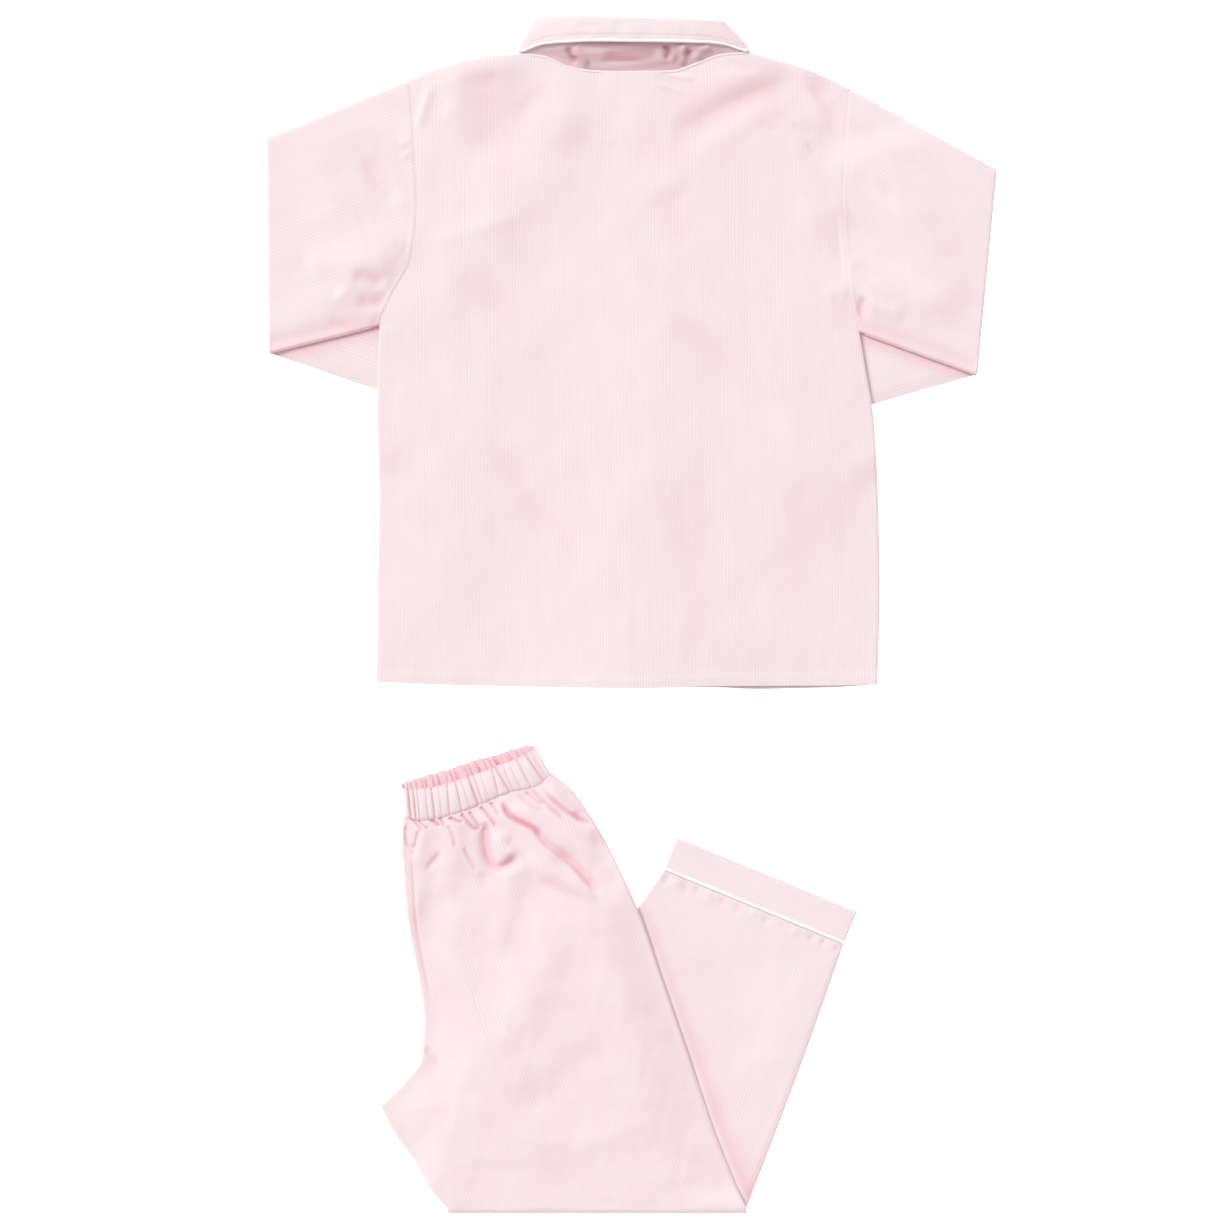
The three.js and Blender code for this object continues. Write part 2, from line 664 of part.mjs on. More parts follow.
// A place on the collar: how far from the seam towards the fold, and how far out from the neck's middle.
function collarPlace(station, toward, out) {
  const { seam, toFold } = station;
  return new THREE.Vector3(
    seam[0] + toFold[0] * toward + station.out[0] * out,
    seam[1] + toFold[1] * toward + station.out[1] * out,
    STACK_MIDDLE + station.out[2] * out,
  );
}

// The collar's section: up the stand, round the fold and back along the leaf, as pairs of
// distance from the seam and height out, with the way the wall faces at each.
function collarSection(station) {
  const { length, edge, lap, stand, leaf } = station;
  const radius = (leaf - stand) / 2;
  const standEnd = length - radius;
  const section = [];
  for (const t of fractions(3).slice(0, -1)) {
    section.push({ toward: mix(lap, standEnd, t), out: stand, face: [0, -1] });
  }
  for (const t of fractions(COLLAR_FOLD_STEPS)) {
    const angle = Math.PI * (t - 0.5);
    section.push({
      toward: standEnd + radius * Math.cos(angle),
      out: stand + radius + radius * Math.sin(angle),
      face: [Math.cos(angle), Math.sin(angle)],
    });
  }
  for (const t of fractions(3).slice(1)) {
    section.push({ toward: mix(standEnd, edge, t), out: leaf, face: [0, 1] });
  }
  return section;
}

function makeCollar() {
  const stations = collarStations();
  const sections = stations.map(collarSection);
  const face = (sign) => (i, j) => {
    const { toward, out, face: [faceToward, faceOut] } = sections[i][j];
    const half = (sign * WALL) / 2;
    return collarPlace(stations[i], toward + faceToward * half, out + faceOut * half);
  };
  const wall = sheet(stations.length - 1, sections[0].length - 1, face(1), face(-1));
  // the piping runs just off the leaf's edge, square to it and in the leaf's plane
  const edges = stations.map((station) => collarPlace(station, station.edge, station.leaf));
  const rings = stations.map((station, i) => {
    const before = edges[Math.max(i - 1, 0)];
    const after = edges[Math.min(i + 1, edges.length - 1)];
    const out = new THREE.Vector3(...station.out);
    const away = new THREE.Vector3().subVectors(after, before).cross(out).normalize();
    const centre = edges[i].clone().addScaledVector(away, PIPING_FROM_EDGE);
    return Array.from({ length: PIPING_SIDES }, (_, k) => {
      const angle = (2 * Math.PI * (k + 0.5)) / PIPING_SIDES;
      return centre
        .clone()
        .addScaledVector(away, (Math.cos(angle) * PIPING_WIDTH) / 2)
        .addScaledVector(out, (Math.sin(angle) * station.pipingHeight) / 2);
    });
  });
  const end = Array.from({ length: PIPING_SIDES }, (_, k) => k);
  return [
    cloth("collar", wall, CLOTH),
    cloth("collar_piping", loft(rings, [end], PIPING_SIDES), PIPING_FINISH),
  ];
}

// Buttons: turned discs with a raised rim and a dished middle, face down

function makeButtons() {
  const { radius, rimRadius, height, dish, edge } = BUTTON;
  const profile = [
    [0, dish],
    [rimRadius - dish, dish],
    [rimRadius, 0],
    [radius - edge, 0],
    [radius, edge],
    [radius, height - edge],
    [radius - edge, height],
    [0, height],
  ].map(([r, z]) => new THREE.Vector2(r, z));
  return BUTTON_ROWS_Y.map((y, k) => {
    const turned = [];
    for (let s = 0; s < BUTTON_SIDES; s += 1) {
      const angle = (2 * Math.PI * s) / BUTTON_SIDES;
      const [cos, sin] = [Math.cos(angle), Math.sin(angle)];
      turned.push(profile.slice(1, -1).map((p) => new THREE.Vector3(p.x * cos, p.x * sin, p.y)));
    }
    const around = profile.length - 2;
    const points = [...turned.flat(), new THREE.Vector3(0, 0, profile[0].y), new THREE.Vector3(0, 0, height)];
    const bottom = points.length - 2;
    const top = points.length - 1;
    const at = (side, p) => (side % BUTTON_SIDES) * around + p;
    const triangles = [];
    for (let s = 0; s < BUTTON_SIDES; s += 1) {
      for (let p = 0; p < around - 1; p += 1) {
        quad(triangles, at(s, p), at(s + 1, p), at(s + 1, p + 1), at(s, p + 1));
      }
      triangles.push([bottom, at(s + 1, 0), at(s, 0)], [top, at(s, around - 1), at(s + 1, around - 1)]);
    }
    const button = cloth(`button_${k + 1}`, closedMesh(points, triangles), BUTTON_FINISH);
    button.position.set(CENTRE_X, y, 0);
    return button;
  });
}

// Trousers

// How much of the lower half's height lies under a place of the upper half.
function liftShare(x, y) {
  const { knee, piping } = LOWER_LEFT;
  const run = [piping[0] - knee[0], piping[1] - knee[1]];
  const length = Math.hypot(run[0], run[1]);
  const leftOf = (run[0] * (y - knee[1]) - run[1] * (x - knee[0])) / length;
  return 1 - THREE.MathUtils.smoothstep(leftOf - LIFT_MARGIN, 0, LIFT_RAMP);
}

function upperRow(row, v) {
  if (row === 0) {
    const [x, y] = readPoint(WAISTBAND, "along", "seam", v);
    return [x, y - GAP];
  }
  return mixPoints(LEG_ROWS[row].left, LEG_ROWS[row].right, v);
}

function lowerEdge({ knee, piping, bow }, t) {
  const [x, y] = mixPoints(knee, piping, t);
  return [x + bow * Math.sin(Math.PI * t), y];
}

function lowerRow(t, v) {
  return mixPoints(lowerEdge(LOWER_LEFT, t), lowerEdge(LOWER_RIGHT, t), v);
}

// Every row of a leg from the waist, round the knee and on to the hem; r is the layer's radius
// about the knee fold, and v runs from the inseam edge to the outer edge.
const LEG_LINE = [
  ...LEG_ROWS.map((_, row) => (v, r) => {
    const [x, y] = upperRow(row, v);
    return new THREE.Vector3(x, y, KNEE_RADIUS + r - LIFT * (1 - liftShare(x, y)));
  }),
  ...fractions(KNEE_STEPS).slice(1, -1).map((t) => (v, r) => {
    const angle = Math.PI * (0.5 - t);
    const [x, y] = lowerRow(0, v);
    return new THREE.Vector3(x, y - r * Math.cos(angle), KNEE_RADIUS + r * Math.sin(angle));
  }),
  ...fractions(LOWER_STEPS).map((t) => (v, r) => {
    const [x, y] = lowerRow(t, v);
    return new THREE.Vector3(x, y, KNEE_RADIUS - r);
  }),
];

const TOP_LEG = { outside: KNEE_RADIUS, inside: KNEE_RADIUS - WALL, folds: TROUSER_FOLDS };
const BOTTOM_LEG = { outside: GAP / 2 + WALL, inside: GAP / 2, folds: [] };
const HIDDEN_CLEARANCE = 0.45;
const HIDDEN = {
  outside: TOP_LEG.inside - HIDDEN_CLEARANCE,
  inside: BOTTOM_LEG.outside + HIDDEN_CLEARANCE,
};

function legSheet(name, { outside, inside, folds }) {
  const face = (r) => (i, j) => {
    const point = LEG_LINE[i](j / LEG_COLUMNS, r);
    if (i < LEG_ROWS.length - 1) {
      const fade = i === 0 ? FOLDS_AT_WAIST : 1;
      point.z += foldHeight(folds, point.x, point.y) * fade;
    }
    return point;
  };
  return cloth(name, sheet(LEG_LINE.length - 1, LEG_COLUMNS, face(outside), face(inside)), CLOTH);
}

// The layers between the two legs' outer sides, as one solid with a groove round its edge.
function makeInnerLayers() {
  const { outside, inside } = HIDDEN;
  const middle = (outside + inside) / 2;
  const inset = HIDDEN_INSET / LEG_WIDTH;
  const groove = LAYER_GROOVE.depth / LEG_WIDTH;
  const round = EDGE_ROUND / LEG_WIDTH;
  const half = LAYER_GROOVE.height / 2;
  const edge = (direction) => [
    { v: inset + round, r: direction > 0 ? outside : inside },
    { v: inset, r: middle + direction * (half + EDGE_ROUND) },
    { v: inset, r: middle + direction * half },
  ];
  const mirrored = (list) => list.map(({ v, r }) => ({ v: 1 - v, r }));
  const across = fractions(LEG_COLUMNS).slice(1, -1);
  const corner = edge(1).slice(0, 1);
  const overChain = [...corner, ...across.map((v) => ({ v, r: outside })), ...mirrored(corner)];
  const underChain = overChain.map(({ v }) => ({ v: 1 - v, r: inside }));
  const rightLip = [
    ...mirrored(edge(1).slice(1)),
    { v: 1 - inset - groove, r: middle },
    ...mirrored(edge(-1).slice(1)).reverse(),
  ];
  const leftLip = rightLip.map(({ v, r }) => ({ v: 1 - v, r: 2 * middle - r }));
  const loop = [...overChain, ...rightLip, ...underChain, ...leftLip];
  const sections = LEG_LINE.map((row) => loop.map(({ v, r }) => row(v, r)));
  // an end is a strip of quads between the two chains, with a lipped piece at either side
  const count = loop.length;
  const under = (k) => 2 * overChain.length + rightLip.length - 1 - k;
  const strip = across.slice(1).map((_, k) => [k + 1, k + 2, under(k + 2), under(k + 1)]);
  const rightSide = Array.from({ length: rightLip.length + 4 }, (_, k) => overChain.length - 2 + k);
  const leftSide = Array.from({ length: leftLip.length + 4 }, (_, k) => (under(1) + k) % count);
  const ends = [...strip, rightSide, leftSide];
  return cloth("inner_layers", loft(sections, ends, overChain.length), CLOTH_INSIDE);
}

// A flattened ring of cloth round one leg at the hem, between two distances past the leg's end.
function hemRing(name, from, to, low, high, finish) {
  const left = LOWER_LEFT.piping;
  const right = LOWER_RIGHT.piping;
  const width = Math.hypot(right[0] - left[0], right[1] - left[1]);
  const along = [(right[0] - left[0]) / width, (right[1] - left[1]) / width];
  const past = [-along[1], along[0]];
  const columns = fractions(8);
  const ring = (distance, upper, lower, inset, edgeInset) => {
    const place = (s, z) => new THREE.Vector3(
      left[0] + along[0] * s + past[0] * distance,
      left[1] + along[1] * s + past[1] * distance,
      z,
    );
    const chain = columns.map((t) => mix(inset, width - inset, t));
    return [
      ...chain.map((s) => place(s, upper)),
      place(width - edgeInset, (upper + lower) / 2),
      ...chain.reverse().map((s) => place(s, lower)),
      place(edgeInset, (upper + lower) / 2),
    ];
  };
  const ends = [from, to];
  const outer = ends.map((d) => ring(d, high, low, EDGE_ROUND, 0));
  const inner = ends.map((d) => ring(d, high - WALL, low + WALL, WALL + EDGE_ROUND, WALL));
  return cloth(name, tube(outer, inner, columns.length), finish);
}

function makeHems() {
  const pieces = [];
  const levels = [
    { leg: "bottom_leg", low: PAIR, high: LEG_STACK, proud: HEM_PIPING_PROUD },
    { leg: "top_leg", low: 0, high: PAIR - GAP, proud: 0 },
  ];
  for (const { leg, low, high, proud } of levels) {
    const bandStart = GAP + HEM_PIPING + GAP;
    pieces.push(hemRing(`${leg}_hem_piping`, GAP, GAP + HEM_PIPING, low, high + proud, PIPING_FINISH));
    pieces.push(hemRing(`${leg}_hem_band`, bandStart, bandStart + HEM_BAND, low, high, CLOTH));
  }
  return pieces;
}

// The waistband's path round all four layers, as distances along the band and heights about the
// middle of the stack, with how far each point reaches from the near edge to the far one.
function waistbandPath(length) {
  const { near, far, hidden, bottom } = BAND_LAYERS;
  const path = [];
  const gathered = (from, to, height, gather, reach) => {
    const steps = GATHERS * POINTS_A_GATHER;
    const forwards = to > from;
    for (let k = 0; k <= steps; k += 1) {
      const t = forwards ? k / steps : 1 - k / steps;
      const at = mix(GATHER_FIRST, GATHER_LAST, t);
      const wave = (1 - Math.cos(2 * Math.PI * GATHERS * t)) / 2;
      path.push({ s: at * length, z: height + gather * wave, reach });
    }
  };
  const flat = (from, to, height) => {
    const stops = WAISTBAND.slice(1, -1).map(({ along }) => along);
    for (const at of [from, ...(from < to ? stops : stops.reverse()), to]) {
      path.push({ s: at * length, z: height, reach: 1 });
    }
  };
  const turn = (s, low, high, side, reaches) => {
    const radius = Math.abs(high - low) / 2;
    for (const t of fractions(4).slice(1, -1)) {
      const angle = Math.PI * (0.5 - t);
      path.push({
        s: s + side * radius * Math.cos(angle),
        z: (low + high) / 2 + (low < high ? -1 : 1) * radius * Math.sin(angle),
        reach: mix(reaches[0], reaches[1], t),
      });
    }
  };
  // the band's ends stand in from the seam's ends by the radius of the turn that is outermost there
  const start = (near - bottom) / 2 + WALL / 2 - GAP;
  const end = length - (near - far) / 2 - WALL;
  const innerStart = start + LAYER;
  gathered(0, 1, near, GATHER_HEIGHT.near, 0);
  path.push({ s: end, z: near, reach: 0 });
  turn(end, near, far, 1, [0, 1]);
  path.push({ s: end, z: far, reach: 1 });
  gathered(1, 0, far, GATHER_HEIGHT.far, 1);
  turn(innerStart, far, hidden, -1, [1, 1]);
  flat(innerStart / length, end / length, hidden);
  turn(end, hidden, bottom, 1, [1, 1]);
  flat(end / length, start / length, bottom);
  turn(start, bottom, near, -1, [1, 0]);
  path.push({ s: start, z: near, reach: 0 });
  return path;
}

// Each point of a closed path moved sideways by a distance, along the path's own normal there.
function offsetPath(path, distance) {
  return path.map((point, k) => {
    const before = path[(k + path.length - 1) % path.length];
    const after = path[(k + 1) % path.length];
    const run = Math.hypot(after.s - before.s, after.z - before.z);
    const s = point.s - ((after.z - before.z) / run) * distance;
    const z = point.z + ((after.s - before.s) / run) * distance;
    return { s, z, reach: point.reach };
  });
}

function makeWaistband() {
  const ends = [WAISTBAND[0].seam, WAISTBAND[WAISTBAND.length - 1].seam];
  const length = Math.hypot(ends[1][0] - ends[0][0], ends[1][1] - ends[0][1]);
  const path = waistbandPath(length);
  const rings = (distance) => {
    const loop = offsetPath(path, distance);
    return fractions(BAND_STEPS).map((up) =>
      loop.map(({ s, z, reach }) => {
        const along = THREE.MathUtils.clamp(s / length, 0, 1);
        const seam = readPoint(WAISTBAND, "along", "seam", along);
        const near = readPoint(WAISTBAND, "along", "near", along);
        const far = readPoint(WAISTBAND, "along", "far", along);
        const [x, y] = mixPoints(seam, mixPoints(near, far, reach), up);
        return new THREE.Vector3(x, y, STACK_MIDDLE + z);
      }),
    );
  };
  return cloth("waistband", tube(rings(WALL / 2), rings(-WALL / 2), path.length), CLOTH);
}

function makeTrousers() {
  return [
    legSheet("top_leg", TOP_LEG),
    legSheet("bottom_leg", BOTTOM_LEG),
    makeInnerLayers(),
    makeWaistband(),
    ...makeHems(),
  ];
}

const jacket = new THREE.Group();
jacket.add(...makeBody(), ...SLEEVES.map(makeSleeve), ...makeCollar(), ...makeButtons());
const trousers = new THREE.Group();
trousers.add(...makeTrousers());
const set = new THREE.Group();
set.add(jacket, trousers);

export default set;
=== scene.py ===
"""A child's pyjama set laid flat: a collared jacket, face down with its sleeves folded under it,
and gathered trousers folded leg on leg and then at the knee.

The tables and the shapes are in millimetres, in the frame's own axes: +X right, +Y towards the
collar, +Z up from the surface. A mesh is scaled to metres when it is made.
"""

import logging
import math
from collections.abc import Sequence
from dataclasses import dataclass
from enum import Enum

import bmesh
import bpy
import numpy as np
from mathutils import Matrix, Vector


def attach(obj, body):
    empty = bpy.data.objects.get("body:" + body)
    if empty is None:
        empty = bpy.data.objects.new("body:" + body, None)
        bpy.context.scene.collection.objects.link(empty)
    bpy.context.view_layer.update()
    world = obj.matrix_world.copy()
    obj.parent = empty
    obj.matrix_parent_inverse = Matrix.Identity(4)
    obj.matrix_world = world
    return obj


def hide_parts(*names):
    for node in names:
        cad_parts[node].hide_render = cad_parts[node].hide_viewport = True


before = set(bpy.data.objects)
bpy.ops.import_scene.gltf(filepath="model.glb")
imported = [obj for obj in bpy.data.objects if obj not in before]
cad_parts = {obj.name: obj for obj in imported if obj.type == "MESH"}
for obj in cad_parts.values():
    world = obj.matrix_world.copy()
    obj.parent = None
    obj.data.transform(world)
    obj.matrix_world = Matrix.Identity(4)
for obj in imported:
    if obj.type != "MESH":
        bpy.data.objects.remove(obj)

log = logging.getLogger("pyjama_set")

Array = np.ndarray
Place = tuple[float, float]

MM = 0.001

# How the cloth is stacked: walls, air between them, and the middle of a stack of four layers
WALL = 1.0
GAP = 0.3
LAYER = WALL + GAP
PAIR = 2 * LAYER
STACK_MIDDLE = 2 * WALL + 1.5 * GAP
LEG_STACK = 4 * WALL + 3 * GAP
CLOTH_THICKNESS = 0.5

# Rough sizes that turn shares of a panel into millimetres from its edges
HALF_BODY_WIDTH = 190.0
BODY_LENGTH = 490.0
FRONT_LENGTH = 440.0
SLEEVE_WIDTH = 165.0
LEG_WIDTH = 210.0
LOWER_LEG_WIDTH = 190.0
# how far in from an edge the cloth follows what lies right under it
EDGE_ZONE = 45.0

# Where the key light shines from, in metres, towards the middle of the set
KEY_LIGHT = (-2.35, 2.15, 2.3)


# Numbers and tables


def smoothstep(low: float, high: float, at: Array) -> Array:
    """Rises from 0 at low to 1 at high as 3t^2 - 2t^3, where t is the share of the way."""
    t = np.clip((at - low) / (high - low), 0.0, 1.0)
    return t * t * (3.0 - 2.0 * t)


def mix(a: Array | float, b: Array | float, t: Array | float) -> Array:
    """Goes straight from a to b as t goes from 0 to 1."""
    return a + (b - a) * t


def hermite(keys: Array, values: Array, at: Array) -> Array:
    """Reads a curve through rows of a table without overshoot.

    Formula: a cubic Hermite curve whose slope at a row is the harmonic mean of the slopes on its
    two sides, or 0 where they differ in sign.

    Args:
        keys: rising places of the rows.
        values: the rows' values.
        at: places to read at.

    Returns:
        The curve's values, in the shape of at.
    """
    step = np.diff(keys)
    slope = np.diff(values) / step
    tangent = np.zeros_like(values)
    tangent[0], tangent[-1] = slope[0], slope[-1]
    if len(values) > 2:
        before, after = slope[:-1], slope[1:]
        same = before * after > 0
        total = np.where(same, before + after, 1.0)
        tangent[1:-1] = np.where(same, 2 * before * after / total, 0.0)
    at = np.asarray(at, float)
    row = np.clip(np.searchsorted(keys, at, side="right") - 1, 0, len(keys) - 2)
    t = np.clip((at - keys[row]) / step[row], 0.0, 1.0)
    rise = step[row]
    return (
        (2 * t**3 - 3 * t**2 + 1) * values[row]
        + (t**3 - 2 * t**2 + t) * rise * tangent[row]
        + (3 * t**2 - 2 * t**3) * values[row + 1]
        + (t**3 - t**2) * rise * tangent[row + 1]
    )


class Table:
    """Rows of a form with named columns, read as smooth curves of the key column."""

    def __init__(self, key: str, corners: Sequence[float] = (), **columns: Sequence[float]) -> None:
        """Keeps the columns.

        Args:
            key: the column that the others are read along.
            corners: key values where the curves turn sharply.
            columns: every column by its name.
        """
        self.columns = {name: np.array(values, float) for name, values in columns.items()}
        self.keys = self.columns[key]
        self.corners = corners

    def read(self, column: str, at: Array | float) -> Array:
        """The column's values at these places of the key column."""
        at = np.asarray(at, float)
        values = self.columns[column]
        stops = [0, *[int(np.argmin(abs(self.keys - c))) for c in self.corners], len(self.keys) - 1]
        result = np.zeros_like(at)
        for first, last in zip(stops[:-1], stops[1:]):
            part = hermite(self.keys[first : last + 1], values[first : last + 1], at)
            inside = at >= self.keys[first] if first else np.ones_like(at, bool)
            result = np.where(inside, part, result)
        return result


# The jacket's outline
BODY_SIDES = Table(
    "y",
    y=(-60, -28, 12, 92, 156, 200, 232, 257, 285, 331, 378, 428),
    left=(-204, -203.2, -203, -201.6, -202.8, -202.6, -200.8, -190.4, -175.8, -171.4, -173.8, -177.6),
    right=(197, 197.8, 199, 197.6, 193.8, 187, 181.2, 174.8, 171.8, 168.8, 170.8, 175),
)
BODY_HEM = Table(
    "across",
    across=(-1, -0.7, 0.05, 0.3, 0.5, 0.8, 1),
    back=(-53.8, -56.2, -58.8, -57, -56.8, -56.6, -55.6),
    front=(-53.4, -55.8, -58, -57.8, -59.4, -58.2, -55.6),
)
NECK_LEFT = -0.505
NECK_RIGHT = 0.535
SHOULDER_AND_NECK = Table(
    "across",
    corners=(NECK_LEFT, NECK_RIGHT),
    across=(
        -1, -0.876, -0.752, -0.629, NECK_LEFT, -0.4, -0.29, -0.18, -0.07,
        0.07, 0.18, 0.29, 0.41, NECK_RIGHT, 0.651, 0.767, 0.884, 1,
    ),
    y=(
        427.8, 436.8, 442.9, 446.4, 448.6, 446.4, 438.2, 434.6, 434,
        434, 434.4, 440.2, 447.6, 449.6, 443.8, 438.2, 430.2, 420.6,
    ),
)  # fmt: skip
CENTRE_X = 1.0
ARMPIT_AT = 0.59
PLACKET_EDGE = 0.07
PLACKET_FOLD_BACK = 0.18
LAP_BRIDGE = 0.55
PLACKET_ENDS = (-70.0, 350.0)
FRONT_NECK_SLOPE = 1.18


def body_x(across: Array, y: Array) -> Array:
    """A place across the body, from -1 at the left side to 1 at the right, as X."""
    side = np.where(across < 0, BODY_SIDES.read("left", y), BODY_SIDES.read("right", y))
    return mix(CENTRE_X, side, np.abs(across))


def back_point(across: Array | float, up: Array | float) -> tuple[Array, Array]:
    """A place on the back panel: up goes straight from the hem to the shoulder or neck seam."""
    across = np.asarray(across, float)
    y = mix(BODY_HEM.read("back", across), SHOULDER_AND_NECK.read("y", across), up)
    return body_x(across, y), y


def front_point(across: Array, up: Array) -> tuple[Array, Array]:
    """A place on a front: its top edge follows the shoulder and then falls to the placket."""
    top = SHOULDER_AND_NECK.read("y", across)
    inside = np.maximum(np.abs(across), PLACKET_EDGE) * np.sign(across)
    x = body_x(inside, top)
    for edge, sign in ((NECK_LEFT, -1), (NECK_RIGHT, 1)):
        end_x, end_y = back_point(edge, 1.0)
        neck = (across * sign > 0) & (across * sign < edge * sign)
        top = np.where(neck, end_y - FRONT_NECK_SLOPE * np.abs(x - end_x), top)
    y = mix(BODY_HEM.read("front", across), top, up)
    return body_x(across, y), y


# Soft folds: ridges and troughs that stand above or below the cloth round them


@dataclass(frozen=True)
class Fold:
    """A ridge, or a trough where its height is below 0, along a line through some places."""

    path: tuple[Place, ...]
    width: float
    height: float
    skew: float = 0.0
    taper: float = 0.0
    # tint: how deep the painted shade along the fold is
    tint: float = 0.0


@dataclass(frozen=True)
class Ripple:
    """Slow unevenness of the cloth, the sum of waves whose directions and phases are drawn once."""

    seed: int
    height: float
    longest: float
    shortest: float
    waves: int = 14
    along: float | None = None
    spread: float = math.pi

    def at(self, x: Array, y: Array) -> Array:
        """The height at these places.

        Formula: a sum of sines across straight lines, with wavelengths spread evenly in log
        between the shortest and the longest, each as high as its share of the wavelength.
        """
        rng = np.random.default_rng(self.seed)
        total = np.zeros_like(x)
        lengths = np.geomspace(self.longest, self.shortest, self.waves)
        for length in lengths:
            base = rng.uniform(0, 2 * math.pi) if self.along is None else self.along
            turn = base + rng.uniform(-self.spread, self.spread) / 2
            phase = rng.uniform(0, 2 * math.pi)
            share = length / self.longest
            place = x * math.cos(turn) + y * math.sin(turn)
            total += share * np.sin(2 * math.pi * place / length + phase)
        return self.height * total / math.sqrt(self.waves)


def along_path(path: Sequence[Place], x: Array, y: Array) -> tuple[Array, Array, Array]:
    """Distance to a line through places, the side of it, and how far along it the nearest point is.

    Formula: for every straight stretch the place is dropped square onto it and held between its
    ends; the stretch with the least distance counts.

    Returns:
        The distance, the side (1 on the left of the run, -1 on the right), and the share of the
        line's length.
    """
    points = np.array(path, float)
    runs = np.diff(points, axis=0)
    lengths = np.hypot(runs[:, 0], runs[:, 1])
    starts = np.concatenate([[0.0], np.cumsum(lengths)])
    best = np.full(np.shape(x), np.inf)
    side = np.ones(np.shape(x))
    share = np.zeros(np.shape(x))
    for (px, py), (rx, ry), length, start in zip(points[:-1], runs, lengths, starts[:-1]):
        dx, dy = x - px, y - py
        t = np.clip((dx * rx + dy * ry) / length**2, 0.0, 1.0)
        distance = np.hypot(dx - t * rx, dy - t * ry)
        nearer = distance < best
        best = np.where(nearer, distance, best)
        side = np.where(nearer, np.sign(rx * dy - ry * dx), side)
        share = np.where(nearer, (start + t * length) / starts[-1], share)
    return best, side, share


def rounded(path: Sequence[Place], passes: int = 2) -> Array:
    """Cuts the corners of a line through places, each time a quarter of the way along a stretch."""
    points = np.array(path, float)
    for _ in range(passes if len(points) > 2 else 0):
        cut = np.empty((2 * len(points) - 2, 2))
        cut[0::2] = mix(points[:-1], points[1:], 0.25)
        cut[1::2] = mix(points[:-1], points[1:], 0.75)
        points = np.concatenate([points[:1], cut, points[-1:]])
    return points


def relief(folds: Sequence[Fold], x: Array, y: Array) -> tuple[Array, Array]:
    """The height of folds and how deep their painted shade is, at these places.

    Formula: each fold is a bell curve of the distance from its line, steeper on one side by its
    skew, and it rises smoothly from its two ends over its taper.
    """
    height = np.zeros_like(x)
    tint = np.zeros_like(x)
    for fold in folds:
        distance, side, share = along_path(rounded(fold.path), x, y)
        width = fold.width * (1.0 + fold.skew * side)
        bell = np.exp(-((distance / width) ** 2))
        if fold.taper > 0:
            bell = bell * smoothstep(0.0, fold.taper, np.minimum(share, 1.0 - share))
        height += fold.height * bell
        tint = np.maximum(tint, fold.tint * bell)
    return height, tint


def hollow(z: Array, spread: int, depth: float) -> Array:
    """How deep each place of a grid lies in a hollow, from 0 to 1.

    Formula: the height is blurred by (1, 2, 1) / 4 along rows and columns, spread times over; a
    place is as deep as it lies below the blurred height, as a share of depth.
    """
    smooth = z
    for _ in range(spread):
        for axis in (0, 1):
            ends = [(1, 1) if k == axis else (0, 0) for k in (0, 1)]
            wide = np.pad(smooth, ends, mode="edge")
            first = np.take(wide, range(0, z.shape[axis]), axis)
            last = np.take(wide, range(2, z.shape[axis] + 2), axis)
            smooth = (first + 2 * smooth + last) / 4
    return np.clip((smooth - z) / depth, 0.0, 1.0)


def turned_from_light(points: Array) -> Array:
    """How much less light falls on each place of a grid than on level cloth, from 0 to 1.

    Painted shade: this share mixes the crease colour into the cloth, so slopes turned from the key light
    are painted pinker and darker.

    Formula: the normal is the cross product of the grid's two differences; its dot product with
    the way to the key light is taken as a share of that of level cloth.
    """
    normal = np.cross(np.gradient(points, axis=1), np.gradient(points, axis=0))
    size = np.linalg.norm(normal, axis=-1)
    normal = normal / np.where(size > 0, size, 1.0)[..., None]
    normal = normal * np.where(normal[..., 2:] < 0, -1.0, 1.0)
    way = np.array(KEY_LIGHT) / np.linalg.norm(KEY_LIGHT)
    return np.clip(1.0 - (normal @ way) / way[2], 0.0, 1.0)


def edge_fall(distance: Array, radius: float, drop: float) -> Array:
    """How far cloth falls towards an edge: a quarter of an ellipse, drop high and radius wide."""
    t = 1.0 - np.clip(distance / radius, 0.0, 1.0)
    return drop * (1.0 - np.sqrt(np.clip(1.0 - t * t, 0.0, 1.0)))


# Meshes


def surface(
    name: str,
    points: Array,
    grain: Array,
    tint: Array | None = None,
    round_columns: bool = False,
    round_rows: bool = False,
    turned: bool = False,
) -> bpy.types.Object:
    """Makes a mesh from a grid of points.

    Args:
        name: the piece's name.
        points: rows by columns by 3, in millimetres.
        grain: rows by columns by 2, the place on the flat cloth in millimetres: across the
            stripes and along them.
        tint: rows by columns, how deep the painted shade, or a darker seam line, is, from 0 to 1.
        round_columns: the last column joins the first.
        round_rows: the last row joins the first.
        turned: the faces are listed the other way round.

    Returns:
        The new object, at the origin.
    """
    rows, columns = points.shape[:2]
    index = np.arange(rows * columns).reshape(rows, columns)
    if round_columns:
        index = np.concatenate([index, index[:, :1]], axis=1)
    if round_rows:
        index = np.concatenate([index, index[:1]], axis=0)
    quads = np.stack([index[:-1, :-1], index[:-1, 1:], index[1:, 1:], index[1:, :-1]], axis=-1)
    quads = quads.reshape(-1, 4)
    if turned:
        quads = quads[:, ::-1]
    return mesh_object(name, points.reshape(-1, 3), quads, grain.reshape(-1, 2), tint)


